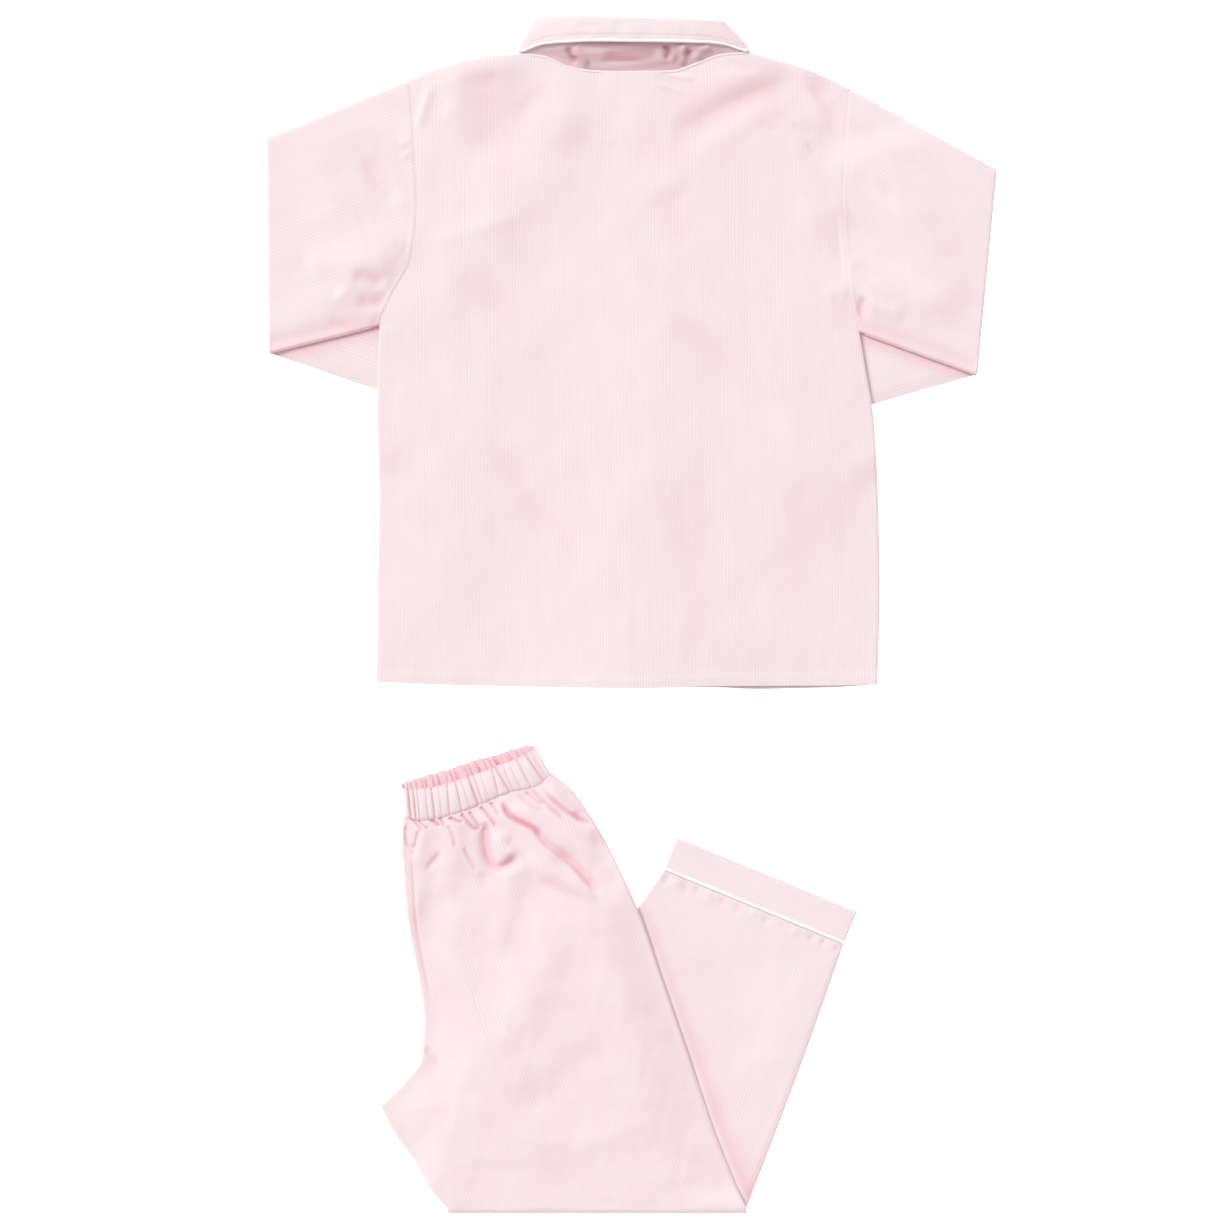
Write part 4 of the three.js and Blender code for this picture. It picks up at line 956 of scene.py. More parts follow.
LEG_FOLDS = (
    # the seat seam, just inside the left edge
    Fold(
        (
            (-175.2, -189.8), (-173.6, -220.2), (-171.2, -251.4), (-165.6, -280.2), (-160.0, -308.2),
        ),
        1.1, -0.7, 0.0, 0.1, 0.16,
    ),
    # the long S-shaped crease, sharp above, with ridges on both its sides
    Fold(
        (
            (-102.2, -147.0), (-101.2, -154.6), (-96.8, -161.0), (-90.4, -165.4), (-82.4, -169.0),
            (-75.2, -173.0), (-69.4, -180.4),
        ),
        2.4, -3.2, 0.25, 0.2, 0.85,
    ),
    Fold(
        (
            (-78.8, -171.8), (-67.5, -182.9), (-57.6, -190.6), (-48.3, -197.8), (-40.6, -205.8),
            (-33.3, -213.8), (-22.0, -224.8),
        ),
        3.4, -4.1, 0.35, 0.2, 0.3,
    ),
    Fold(
        (
            (-95.2, -148.2), (-80.8, -157.8), (-60.0, -169.0), (-32.8, -189.8), (-10.4, -212.2),
        ),
        8, 2.2, 0.0, 0.15,
    ),
    Fold(((-84, -188.2), (-68, -202.6), (-47.2, -217), (-24.8, -228.2)), 6, 1.9, 0, 0.2),
    # the fold shaped like a J, round a bulge
    Fold(
        (
            (-117.6, -164.2), (-115.2, -173.8), (-114.8, -185.0), (-112.8, -194.6), (-108.0, -201.4),
            (-102.4, -201.8), (-97.0, -199.0), (-92.4, -194.4), (-88.4, -191.8),
        ),
        4.2, -3.6, -0.1, 0.16, 0.34,
    ),
    Fold(((-107, -170.4), (-104.8, -181.8), (-99.2, -190.6), (-89.6, -183.8)), 6.5, 2.4, 0, 0.3),
    Fold(((-128.8, -169), (-124.8, -188.2), (-119.2, -210.6)), 6, 1, 0, 0.3),
    # from the waist seam at the right
    Fold(
        (
            (-74.4, -136.2), (-68.0, -141.8), (-62.4, -148.2), (-55.2, -154.6), (-46.4, -161.0),
            (-34.4, -166.6), (-27.0, -168.6),
        ),
        1.9, -1.8, 0.2, 0.3, 0.55,
    ),
    Fold(((-80.8, -137.8), (-72.8, -146.6), (-63.2, -155.4), (-52, -165)), 1.7, -1.4, 0.2, 0.2, 0.4),
    Fold(((-68.8, -137), (-56.8, -147.4), (-40.8, -160.2)), 4.5, 1.5, 0, 0.2),
    Fold(((-91.2, -143.4), (-80.8, -151.4), (-68, -158.6)), 2.4, -1.2, 0, 0.25, 0.2),
    Fold(((-85.6, -141), (-77.6, -147.4), (-68, -153)), 1.6, -1.4, 0.2, 0.2, 0.36),
    # short ones below the waist seam, from left to right
    Fold(((-176, -161.8), (-172, -165.8), (-166.4, -173)), 1.1, -1.6, 0, 0.12, 0.5),
    Fold(((-170.4, -163.4), (-165.6, -169), (-161.6, -171.4)), 1.1, -1.6, 0, 0.12, 0.5),
    Fold(((-160.8, -163), (-156.8, -165.8), (-152.4, -169)), 1.15, -2.1, 0, 0.12, 0.7),
    Fold(((-152.8, -161.8), (-150.4, -165.8), (-148.8, -169.8)), 1.1, -1.6, 0, 0.12, 0.5),
    Fold(((-145.6, -162.2), (-140.8, -164.2), (-134.4, -166.2)), 1.15, -2.1, 0, 0.12, 0.7),
    Fold(
        (
            (-136.0, -158.6), (-131.2, -164.2), (-125.6, -170.6), (-120.8, -172.2),
        ),
        1.15, -2.1, 0.0, 0.12, 0.7,
    ),
    Fold(((-129.6, -157), (-125.6, -162.6), (-120, -170.6)), 1.1, -1.9, 0, 0.12, 0.5),
    Fold(
        (
            (-120.8, -153.0), (-116.0, -157.8), (-110.4, -164.2), (-108.0, -169.8),
        ),
        1.15, -2.1, 0.0, 0.12, 0.7,
    ),
    Fold(((-112.8, -149.8), (-108.8, -154.6), (-105.6, -160.2)), 1.1, -1.6, 0, 0.12, 0.5),
    Fold(((-148, -167.4), (-142.4, -174.6), (-140, -183.4), (-141.6, -187.1)), 1.5, -1.4, 0, 0.2, 0.3),
    Fold(((-134.4, -185), (-128, -197), (-122.4, -206.3)), 1.4, -1.4, 0.2, 0.2, 0.3),
    Fold(((-150.4, -188.2), (-156.8, -196.2), (-164.8, -205)), 2.6, -1.2, 0, 0.3, 0.14),
    Fold(
        (
            (-180.0, -167.4), (-179.6, -181.0), (-175.6, -186.6), (-172.0, -185.0),
        ),
        1.7, -1.6, 0.0, 0.15, 0.16,
    ),
    Fold(((-168.8, -170.6), (-172, -184.2), (-175.2, -193.8)), 1.8, -1.3, 0, 0.2, 0.1),
    Fold(((-44, -163.9), (-38.4, -165.8), (-33.6, -167.8)), 1.8, -0.9, 0, 0.2, 0.08),
    # broad shadows further down
    Fold(((-114.4, -202.6), (-116.8, -212.2), (-119.2, -224.2)), 6, -1, 0, 0.4, 0.08),
    Fold(((-85.6, -204.2), (-84, -228.2), (-90.4, -252.2), (-102.4, -281)), 13, -1.6, 0.3, 0.3, 0.05),
    Fold(((-77.6, -210.6), (-61.6, -217), (-44, -223.4), (-24.8, -227.4)), 6, -1.5, 0.25, 0.3, 0.16),
    Fold(((-160.8, -212.2), (-161.6, -245), (-165.6, -269.8)), 10, -1.2, 0, 0.35, 0.03),
    Fold(((-140.8, -204.2), (-135.2, -244.2), (-144.8, -296.2)), 14, 1.6, 0, 0.45),
    Fold(((-24.8, -240.2), (-48.8, -296.2), (-88.8, -356.2)), 18, -1.4, 0, 0.45, 0.03),
    Fold(((15.2, -316.2), (-32.8, -356.2), (-104.8, -404.2), (-144.8, -428.2)), 16, -1.5, 0, 0.45, 0.04),
    Fold(((-56.8, -252.2), (-88.8, -316.2), (-136.8, -380.2)), 16, 1.5, 0, 0.45),
    Fold(((39.2, -388.2), (-8.8, -412.2), (-72.8, -444.2)), 14, 1.2, 0, 0.45),
    # beside the crotch
    Fold(((-165.6, -345), (-159.2, -353), (-151.2, -362.6)), 2.6, -1.4, 0, 0.25, 0.06),
    Fold(((-163.2, -349.8), (-156, -376.2), (-143.2, -412.2)), 8, -1.2, 0, 0.3, 0.04),
)
# Puckers below the piping: the share of the leg's width from the left, the length, how far they
# lean along the seam, the width and the height
HEM_PUCKERS = (
    (0.02, 12.0, 4.0, 2.4, -0.9),
    (0.07, 9.0, 5.0, 2.8, 0.7),
    (0.12, 13.0, 7.0, 3.0, -0.8),
    (0.19, 9.0, 3.0, 2.6, -0.6),
    (0.25, 12.0, 5.0, 3.2, 0.6),
    (0.33, 9.0, 4.0, 2.6, -0.6),
    (0.42, 11.0, 2.0, 3.0, -0.5),
    (0.5, 8.0, 3.0, 2.8, 0.5),
    (0.59, 10.0, -2.0, 2.8, -0.6),
    (0.67, 8.0, 2.0, 2.6, -0.4),
    (0.75, 11.0, -3.0, 3.0, 0.5),
    (0.84, 9.0, -2.0, 2.4, -0.7),
    (0.91, 8.0, -3.0, 2.2, -0.8),
    (0.97, 9.0, 2.0, 2.2, -0.8),
)
BROAD_LOWER_FOLDS = (
    Fold(((55.2, -276.2), (103.2, -372.2)), 26, -0.8, 0, 0.3),
    Fold(((135.2, -276.2), (111.2, -380.2)), 22, 0.8, 0, 0.3),
)


def hem_puckers(left: Place, right: Place) -> tuple[Fold, ...]:
    """The puckers as folds, between the two ends of the piping's seam."""
    run = np.array(right) - left
    width = float(np.linalg.norm(run))
    along = run / width
    back = np.array([along[1], -along[0]])
    folds = []
    for share, length, lean, wide, height in HEM_PUCKERS:
        start = left + run * share + back * 0.5
        end = start + back * length + along * lean
        # the troughs get painted shade
        tint = 0.1 if height < 0 else 0.0
        folds.append(Fold((tuple(start), tuple(end)), wide, height, 0.0, 0.4, tint))
    return tuple(folds)


@dataclass
class JacketBody:
    """The back panel and the two fronts that it is sewn to."""

    wardrobe: Wardrobe
    rows: int = 225
    columns: int = 195
    seam_drop: float = 0.55
    seam_radius: float = 2.4
    ditch: float = 0.1
    ditch_width: float = 1.3
    hem_depth: float = 10.0
    hem_extra: float = 0.3
    ripple: Ripple = Ripple(seed=11, height=0.36, longest=95, shortest=9, waves=22)
    pucker: Ripple = Ripple(
        seed=12, height=0.28, longest=9, shortest=3, waves=9, along=0.0, spread=0.5
    )

    def edges(self, across: Array, up: Array) -> tuple[Array, Array]:
        """How far the cloth falls towards its seams, and how near it is to the hem's edge."""
        side = (1.0 - np.abs(across)) * HALF_BODY_WIDTH
        top = (1.0 - up) * BODY_LENGTH
        below = 1.0 - smoothstep(ARMPIT_AT - 0.02, ARMPIT_AT + 0.02, up)
        fall = below * edge_fall(side, self.seam_radius, self.seam_drop)
        fall = fall + (1.0 - below) * self.ditch * np.exp(-((side / self.ditch_width) ** 2))
        neck = (across > NECK_LEFT) & (across < NECK_RIGHT)
        fall = fall + np.where(
            neck,
            self.ditch * np.exp(-((top / self.ditch_width) ** 2)),
            edge_fall(top, self.seam_radius, self.seam_drop),
        )
        return fall, side

    def back(self) -> bpy.types.Object:
        """The back: the outline's table gives the place, layers, folds and ripples the height."""
        up, across = np.meshgrid(
            self.spread(self.rows, 0.4), 2 * self.spread(self.columns, 0.4) - 1, indexing="ij"
        )
        x, y = back_point(across, up)
        folds, tint = relief(BACK_FOLDS, x, y)
        soft, _ = relief(JACKET_SOFT_FOLDS, x, y)
        fall, side = self.edges(across, up)
        from_top = (1.0 - up) * BODY_LENGTH
        armhole = smoothstep(ARMPIT_AT - 0.02, ARMPIT_AT + 0.01, up)
        width = np.clip((up - ARMPIT_AT) / (1 - ARMPIT_AT), 0, 1)
        near_sleeve = armhole * np.exp(-((side / 12.0) ** 2))
        soft = soft * mix(1.0, np.sqrt(np.sin(math.pi * width)), near_sleeve)
        folds = folds * mix(1.0, smoothstep(0.0, 6.0, side), armhole)
        calm = smoothstep(0.0, 14.0, side) * smoothstep(0.0, 16.0, from_top)
        from_hem = up * BODY_LENGTH
        turned_up = smoothstep(self.hem_depth - 0.9, self.hem_depth + 0.9, from_hem)
        hem = self.hem_extra * (1.0 - turned_up)
        stitch = -0.22 * np.exp(-(((from_hem - self.hem_depth + 1.2) / 0.8) ** 2))
        gathered = np.exp(-(((from_hem - self.hem_depth) / 7.0) ** 2))
        z = (
            bridged_height(x, y, across, np.minimum(side, from_top))
            + LAYER
            + WALL
            + soft
            + folds
            + self.ripple.at(x, y) * np.maximum(calm, 0.35 * (1 - armhole))
            + self.pucker.at(x, y) * gathered * 0.3
            + hem
            + stitch
            - fall
        )
        # painted shade in hollows and on slopes turned from the key light, besides the folds' own, and a
        # faint darker armhole seam line
        seams = armhole * np.exp(-((side / 1.0) ** 2)) * 0.07
        points = np.stack([x, y, z], axis=-1)
        turned = 0.4 * turned_from_light(points)
        tint = np.clip(tint + 0.12 * hollow(z, 16, 1.4) + seams + turned, 0, 1)
        grain = np.stack([x, y], axis=-1)
        piece = surface("back_panel_cloth", points, grain, tint)
        thicken(piece)
        dress(piece, self.wardrobe.outside, ["back_panel"])
        return piece

    def spread(self, rows: int, crowd: float) -> Array:
        """Rows from hem to shoulder, closer together at both ends.

        Formula: t less a share of a full sine turn.
        """
        t = np.linspace(0, 1, rows)
        return t - crowd * np.sin(2 * math.pi * t) / (2 * math.pi)

    def front(self, name: str, low: float, high: float, lapped: bool) -> bpy.types.Object:
        """A front, seen from under the set: it lies on the surface except where it is lifted."""
        up, across = np.meshgrid(
            self.spread(self.rows // 2, 0.15), np.linspace(low, high, 60), indexing="ij"
        )
        x, y = front_point(across, up)
        lap = lap_height(across) if lapped else np.zeros_like(across)
        side = (1.0 - np.abs(across)) * HALF_BODY_WIDTH
        below = 1.0 - smoothstep(ARMPIT_AT - 0.02, ARMPIT_AT + 0.02, up)
        rise = below * edge_fall(side, self.seam_radius, self.seam_drop)
        rise = rise + edge_fall((1.0 - up) * FRONT_LENGTH, self.seam_radius, 0.4)
        z = underlay_height(x, y) + lap + rise
        points = np.stack([x, y, z], axis=-1)
        piece = surface(f"{name}_cloth", points, np.stack([x, y], axis=-1), turned=True)
        thicken(piece)
        dress(piece, self.wardrobe.outside, [name])
        return piece

    def build(self) -> None:
        """Makes the three panels."""
        self.back()
        self.front("left_front", -1.0, PLACKET_EDGE, True)
        self.front("right_front", -PLACKET_EDGE, 1.0, False)


@dataclass
class Sleeve:
    """A sleeve, all round: its upper half beside the body, its forearm folded under it."""

    wardrobe: Wardrobe
    form: SleeveForm
    upper_steps: int = 62
    fold_steps: int = 10
    forearm_steps: int = 60
    over_columns: int = 84
    under_columns: int = 26
    cloth_length: float = 385.0
    cloth_width: float = 400.0
    edge_radius: float = 2.2
    ripple: Ripple = Ripple(seed=21, height=0.5, longest=60, shortest=7, waves=20)
    pucker: Ripple = Ripple(
        seed=22, height=0.35, longest=8, shortest=3, waves=8, along=math.pi / 2, spread=0.4
    )

    def armhole(self, width: Array) -> tuple[Array, Array]:
        """The armhole seam from the armpit, at 0, to the shoulder, at 1."""
        up = mix(ARMPIT_AT, 1.0, width)
        return back_point(float(self.form.side), up)

    def ring(self) -> tuple[Array, Array, Array]:
        """Places round the tube: across the width and back, with a radius about the fold.

        Returns:
            The place across the sleeve, the radius of the wall there, and 1 on the outer wall.
        """
        over = (1 - np.cos(np.linspace(0, math.pi, self.over_columns))) / 2
        over = mix(np.linspace(0, 1, self.over_columns), over, 0.35)
        under = np.linspace(1, 0, self.under_columns)
        outer, inner = STACK_MIDDLE, GAP / 2
        middle = (outer + inner) / 2
        width = np.concatenate([over, under])
        # near the two underarm and shoulder edges the walls round into each other
        inward = np.clip(np.minimum(width, 1 - width) * SLEEVE_WIDTH / self.edge_radius, 0, 1)
        edge = np.sqrt(np.clip(1.0 - (1.0 - inward) ** 2, 0, 1))
        sign = np.concatenate([np.ones(len(over)), -np.ones(len(under))])
        radius = middle + sign * (outer - middle) * edge
        return width, radius, (sign > 0).astype(float)

    def build(self) -> bpy.types.Object:
        """The tube as rows from the armhole over the fold to the cuff.

        Formula: up to the fold a row goes straight from the armhole towards the fold line, then
        it turns half a circle about that line, and then it goes straight to the cuff.
        """
        form = self.form
        width, radius, outer = self.ring()
        top, bottom = np.array(form.fold_top), np.array(form.fold_bottom)
        along = (top - bottom) / np.linalg.norm(top - bottom)
        outward = np.array([abs(along[1]), -along[0] * np.sign(along[1])]) * form.side
        fold = bottom + np.outer(width, top - bottom)
        start = np.stack(self.armhole(width), axis=-1)
        middle = fold - outward * STACK_MIDDLE
        cuff = mix(np.array(form.cuff_bottom), np.array(form.cuff_top), width[:, None])
        rows: list[Array] = []
        flat: list[Array] = []
        for t in np.linspace(0, 1, self.upper_steps) ** 1.2:
            place = mix(start, middle, t)
            x, y = place[:, 0], place[:, 1]
            folds, _ = relief(form.folds, x, y)
            soft, _ = relief(JACKET_SOFT_FOLDS, x, y)
            inside = np.sqrt(np.sin(math.pi * np.clip(width, 0, 1)))
            from_seam = np.hypot(*(place - start).T)
            off_seam = smoothstep(0.0, 7.0, from_seam)
            height = outer * (
                inside * soft * (1 - t**4)
                + inside * self.ripple.at(x, y) * (1 - t**4) * off_seam
                + inside * folds * smoothstep(0.0, 0.06, 1.0 - t) * off_seam
                + inside * self.pucker.at(x, y) * np.exp(-((from_seam / 9.0) ** 2)) * off_seam
                + 0.18 * np.exp(-(((from_seam - 2.4) / 1.2) ** 2))
                - 0.08 * np.exp(-((from_seam / 1.3) ** 2))
                - 0.5 * np.exp(-(((width * SLEEVE_WIDTH - 8.0) / 5.0) ** 2)) * t
            )
            z = underlay_height(x, y) + radius - GAP / 2 + height
            rows.append(np.stack([x, y, z], axis=-1))
            flat.append(place)
        for t in np.linspace(0, 1, self.fold_steps + 2)[1:-1]:
            angle = math.pi * (0.5 - t)
            place = middle + outward * (radius * math.cos(angle))[:, None]
            z = STACK_MIDDLE + radius * math.sin(angle)
            rows.append(np.column_stack([place, z]))
            flat.append(middle + outward * (radius * math.pi * t)[:, None])
        for t in np.linspace(0, 1, self.forearm_steps):
            place = mix(middle, cuff, t)
            z = STACK_MIDDLE - radius
            rows.append(np.column_stack([place, z]))
            back = (place - middle) @ outward
            flat.append(place - 2 * np.outer(back, outward) + outward * STACK_MIDDLE * math.pi)
        points = np.array(rows)
        unfolded = np.array(flat)
        slope = math.radians(form.stripe_slope)
        across = -unfolded[..., 0] * math.sin(slope) + unfolded[..., 1] * math.cos(slope)
        length = unfolded[..., 0] * math.cos(slope) + unfolded[..., 1] * math.sin(slope)
        grain = np.stack([across, length], axis=-1)
        _, tint = relief(form.folds, points[..., 0], points[..., 1])
        upper = np.arange(len(rows))[:, None] < self.upper_steps
        from_start = np.linalg.norm(points[..., :2] - start[None], axis=-1)
        # painted shade: a faint darker line at the armhole seam, shade near and along the underarm edge,
        # in hollows and on slopes turned from the key light
        tint = tint + 0.07 * np.exp(-((from_start / 1.0) ** 2))
        tint = tint + 0.10 * np.exp(-(((width[None] * SLEEVE_WIDTH - 8.0) / 6.0) ** 2))
        tint = tint + 0.35 * np.exp(-((width[None] * SLEEVE_WIDTH / 1.6) ** 2))
        tint = tint + 0.12 * hollow(points[..., 2], 10, 1.4) + 0.4 * turned_from_light(points)
        tint = np.clip(tint, 0, 1) * outer * upper
        # painted shade on the forearm where it comes out from under the sleeve
        sleeve_edge = (tuple(start[0]), form.fold_bottom)
        under = along_path(sleeve_edge, points[..., 0], points[..., 1])[0]
        tint = tint + 0.32 * np.exp(-((under / 8.0) ** 2)) * (1 - outer) * ~upper
        piece = surface(
            f"{form.name}_cloth", points, grain, tint, round_columns=True, turned=form.side > 0
        )
        thicken(piece)
        dress(piece, self.wardrobe.outside, [form.name])
        return piece


# Crumples in the collar's stand
STAND_FOLDS = (
    Fold(((-52, 455), (-48, 447), (-43.2, 440.6)), 2.4, -0.5, 0, 0.2, 0.25),
    Fold(((-46.4, 453.4), (-40.8, 445.4), (-34.4, 439)), 3, 0.6, 0, 0.2),
    Fold(((-24.8, 446.2), (7.2, 446.2), (24.8, 448.6)), 3, -0.5, 0, 0.2, 0.2),
    Fold(((24.8, 455), (31.2, 450.2), (26.4, 443.8)), 2.4, -0.5, 0, 0.2, 0.3),
    Fold(((39.2, 455), (44, 448.6), (37.6, 439)), 2.6, 0.7, 0, 0.2),
    Fold(((32.8, 442.2), (42.4, 445.4), (48.8, 453.4)), 2.4, -0.5, 0, 0.2, 0.22),
    Fold(((50.4, 442.2), (55.2, 450.2), (64.8, 455)), 3, 0.6, 0, 0.2),
)


@dataclass
class Collar:
    """The collar: a stand up from the neck seam, a fold, and a leaf with a piped edge."""

    wardrobe: Wardrobe
    columns: int = 260
    stand_steps: int = 16
    fold_steps: int = 12
    leaf_steps: int = 22
    leaf_depth: float = 19.0
    hover: float = 6.5
    leaf_over_stand: float = 1.95
    fold_line: tuple[float, float, float, float] = (-73.5, 70.5, 477.0, 3.4)
    reach_at_side: float = 4.0
    ripple: Ripple = Ripple(seed=31, height=0.35, longest=26, shortest=5, waves=14)
    streaks: Ripple = Ripple(
        seed=32, height=1.0, longest=12, shortest=3, waves=9, along=math.pi / 2, spread=0.3
    )
    corner_drop: float = 3.0
    sag: float = 1.1
    stitch_from_edge: float = 3.4
    stitch_width: float = 0.9

    def stations(self) -> dict[str, Array]:
        """The collar's form at places along the neck, from the left front to the right front.

        Returns:
            Columns by name: the seam, the way to the fold, the way that the cloth faces, the
            distances of the fold and of the leaf's edge from the seam, and the heights of the
            stand, the leaf and the piping.
        """
        left, right = [], []
        half = WALL / 2
        for end, stations, fold_x, drop in (
            (NECK_ENDS[0], left, self.fold_line[0], 0.0),
            (NECK_ENDS[1], right, self.fold_line[1], self.corner_drop),
        ):
            crease = np.array([fold_x - end.x, self.fold_line[2] - drop - end.y])
            length = float(np.linalg.norm(crease))
            crease = crease / length
            outward = np.array([end.side * crease[1], -end.side * crease[0]])
            _, to_fold = end.run()
            for t in np.linspace(0, 1, 5)[1:]:
                angle = math.pi * (0.5 - t)
                stations.append(
                    {
                        "seam": (end.x, end.y),
                        "to_fold": tuple(crease),
                        "out": (*(outward * math.cos(angle)), math.sin(angle)),
                        "length": length - 0.6 * drop * math.cos(angle),
                        "edge": self.reach_at_side,
                        "stand": mix(STACK_MIDDLE - half, GAP / 2 + half, t),
                        "leaf": STACK_MIDDLE - half + self.leaf_over_stand * (1 - t),
                        "piping": mix(1.6, WALL, t),
                        "back": 0.0,
                    }
                )
            for t in np.linspace(0, 1, 4)[1:]:
                stations.append(
                    {
                        "seam": end.corner(t * FRONT_COLLAR_LENGTH, 0.0),
                        "to_fold": to_fold,
                        "out": (0.0, 0.0, -1.0),
                        "length": length,
                        "edge": mix(self.reach_at_side, -FRONT_LEAF_BEYOND_SEAM, t),
                        "stand": GAP / 2 + half,
                        "leaf": STACK_MIDDLE - half,
                        "piping": WALL,
                        "back": 0.0,
                    }
                )
        back = []
        for t in np.linspace(0, 1, 17):
            seam = [float(c) for c in back_point(mix(NECK_LEFT, NECK_RIGHT, t), 1.0)]
            middle = 1 - (2 * t - 1) ** 4
            bow = self.fold_line[3] * middle * (1 - t)
            corner = self.corner_drop * max(0.0, (t - 0.7) / 0.3) ** 2
            fold = np.array(
                [
                    mix(self.fold_line[0], self.fold_line[1], t),
                    self.fold_line[2] + bow - corner,
                ]
            )
            run = fold - seam
            length = float(np.linalg.norm(run))
            back.append(
                {
                    "seam": tuple(seam),
                    "to_fold": tuple(run / length),
                    "out": (0.0, 0.0, 1.0),
                    "length": length,
                    "edge": mix(self.reach_at_side, length - self.leaf_depth, math.sqrt(max(middle, 0))),
                    "stand": STACK_MIDDLE - half,
                    "leaf": STACK_MIDDLE - half + self.leaf_over_stand + self.hover * middle,
                    "piping": mix(1.6, 2.2, middle),
                    "back": middle,
                }
            )
        rows = [*reversed(left), *back, *right]
        return {key: np.array([row[key] for row in rows], float) for key in rows[0]}

    def dense(self) -> dict[str, Array]:
        """The stations read at many places, as smooth curves of their number."""
        stations = self.stations()
        keys = np.arange(len(stations["length"]), dtype=float)
        at = np.linspace(0, keys[-1], self.columns)
        read = {}
        for name, values in stations.items():
            columns = values.reshape(len(keys), -1)
            curves = [hermite(keys, columns[:, k], at) for k in range(columns.shape[1])]
            read[name] = np.stack(curves, axis=-1).squeeze()
        read["out"] /= np.linalg.norm(read["out"], axis=1)[:, None]
        read["to_fold"] /= np.linalg.norm(read["to_fold"], axis=1)[:, None]
        return read

    def place(self, form: dict[str, Array], toward: Array, out: Array) -> Array:
        """Places that far from the seam towards the fold and that far out from the neck."""
        flat = form["seam"][:, None, :] + form["to_fold"][:, None, :] * toward[..., None]
        moved = form["out"][:, None, :] * out[..., None]
        xy = flat + moved[..., :2]
        return np.concatenate([xy, STACK_MIDDLE + moved[..., 2:]], axis=-1)

    def build(self) -> None:
        """Makes the collar and its piping.

        Formula: a section goes up the stand, half round a circle between stand and leaf, and back
        along the leaf; the wall's outer face is half a wall further out.
        """
        form = self.dense()
        half = WALL / 2
        radius = (form["leaf"] - form["stand"]) / 2
        stand_end = form["length"] - radius
        t_stand = np.linspace(0, 1, self.stand_steps, endpoint=False)
        toward_stand = mix(-1.2, stand_end[:, None], t_stand[None, :])
        crumple, _ = relief(STAND_FOLDS, *self.stand_places(form, toward_stand))
        rise = 4.2 * np.sin(math.pi * np.clip(toward_stand / stand_end[:, None], 0, 1))
        out_stand = form["stand"][:, None] - half + (rise + 5.5 * crumple) * form["back"][:, None]
        turn = math.pi * (np.linspace(0, 1, self.fold_steps) - 0.5)
        toward_fold = stand_end[:, None] + np.outer(radius + half, np.cos(turn))
        out_fold = (form["stand"] + radius)[:, None] + np.outer(radius + half, np.sin(turn))
        t_leaf = np.linspace(0, 1, self.leaf_steps + 1)[1:]
        toward_leaf = mix(stand_end[:, None], form["edge"][:, None] - 0.5, t_leaf[None, :])
        sag = self.sag * form["back"][:, None] * t_leaf[None, :] ** 2
        out_leaf = form["leaf"][:, None] + half - sag
        xy = self.place(form, toward_leaf, out_leaf)
        lively = np.clip(t_leaf * 4, 0, 1)[None, :] * (0.1 + 0.9 * form["back"][:, None])
        out_leaf = out_leaf + self.ripple.at(xy[..., 0], xy[..., 1]) * lively
        # the row of stitches above the piping presses a line into the leaf
        from_edge = toward_leaf - form["edge"][:, None]
        stitches = np.exp(-(((from_edge - self.stitch_from_edge) / self.stitch_width) ** 2))
        out_leaf = out_leaf - 0.16 * stitches
        toward = np.concatenate([toward_stand, toward_fold, toward_leaf], axis=1)
        out = np.concatenate([out_stand, out_fold, out_leaf], axis=1)
        points = self.place(form, toward, out)
        steps = np.linalg.norm(np.diff(points, axis=1), axis=-1)
        across = np.concatenate([np.zeros((len(points), 1)), np.cumsum(steps, axis=1)], axis=1)
        runs = np.linalg.norm(np.diff(form["seam"], axis=0), axis=-1)
        length = np.concatenate([[0.0], np.cumsum(runs)])[:, None]
        grain = np.stack(np.broadcast_arrays(across, length), axis=-1)
        # painted shade: the stand under the leaf is darkened, deeper in its crumples and with streaks,
        # and the leaf's ends beside the neck get a faint painted shade; the stitch line gets a faint
        # tint
        tint = np.zeros(across.shape)
        on_stand = points[:, : self.stand_steps]
        deeper = relief(STAND_FOLDS, on_stand[..., 0], on_stand[..., 1])[1]
        streaks = 0.22 * self.streaks.at(on_stand[..., 0], on_stand[..., 1])
        stand_tint = np.clip(0.45 + 1.2 * deeper + streaks, 0, 1)
        tint[:, : self.stand_steps] = stand_tint * np.sqrt(form["back"])[:, None]
        tint[:, self.stand_steps :] = 0.14 * (1 - form["back"][:, None])
        tint[:, -self.leaf_steps :] += 0.14 * stitches
        piece = surface("collar_cloth", points, grain, tint)
        thicken(piece)
        dress(piece, self.wardrobe.collar_painted_shade, ["collar"])
        self.piping(form, from_edge=0.4 + COLLAR_PIPING_WIDTH / 2)
        self.neck_seam()

    def stand_places(self, form: dict[str, Array], toward: Array) -> tuple[Array, Array]:
        """The stand's places, which its folds are read at."""
        flat = form["seam"][:, None, :] + form["to_fold"][:, None, :] * toward[..., None]
        return flat[..., 0], flat[..., 1]

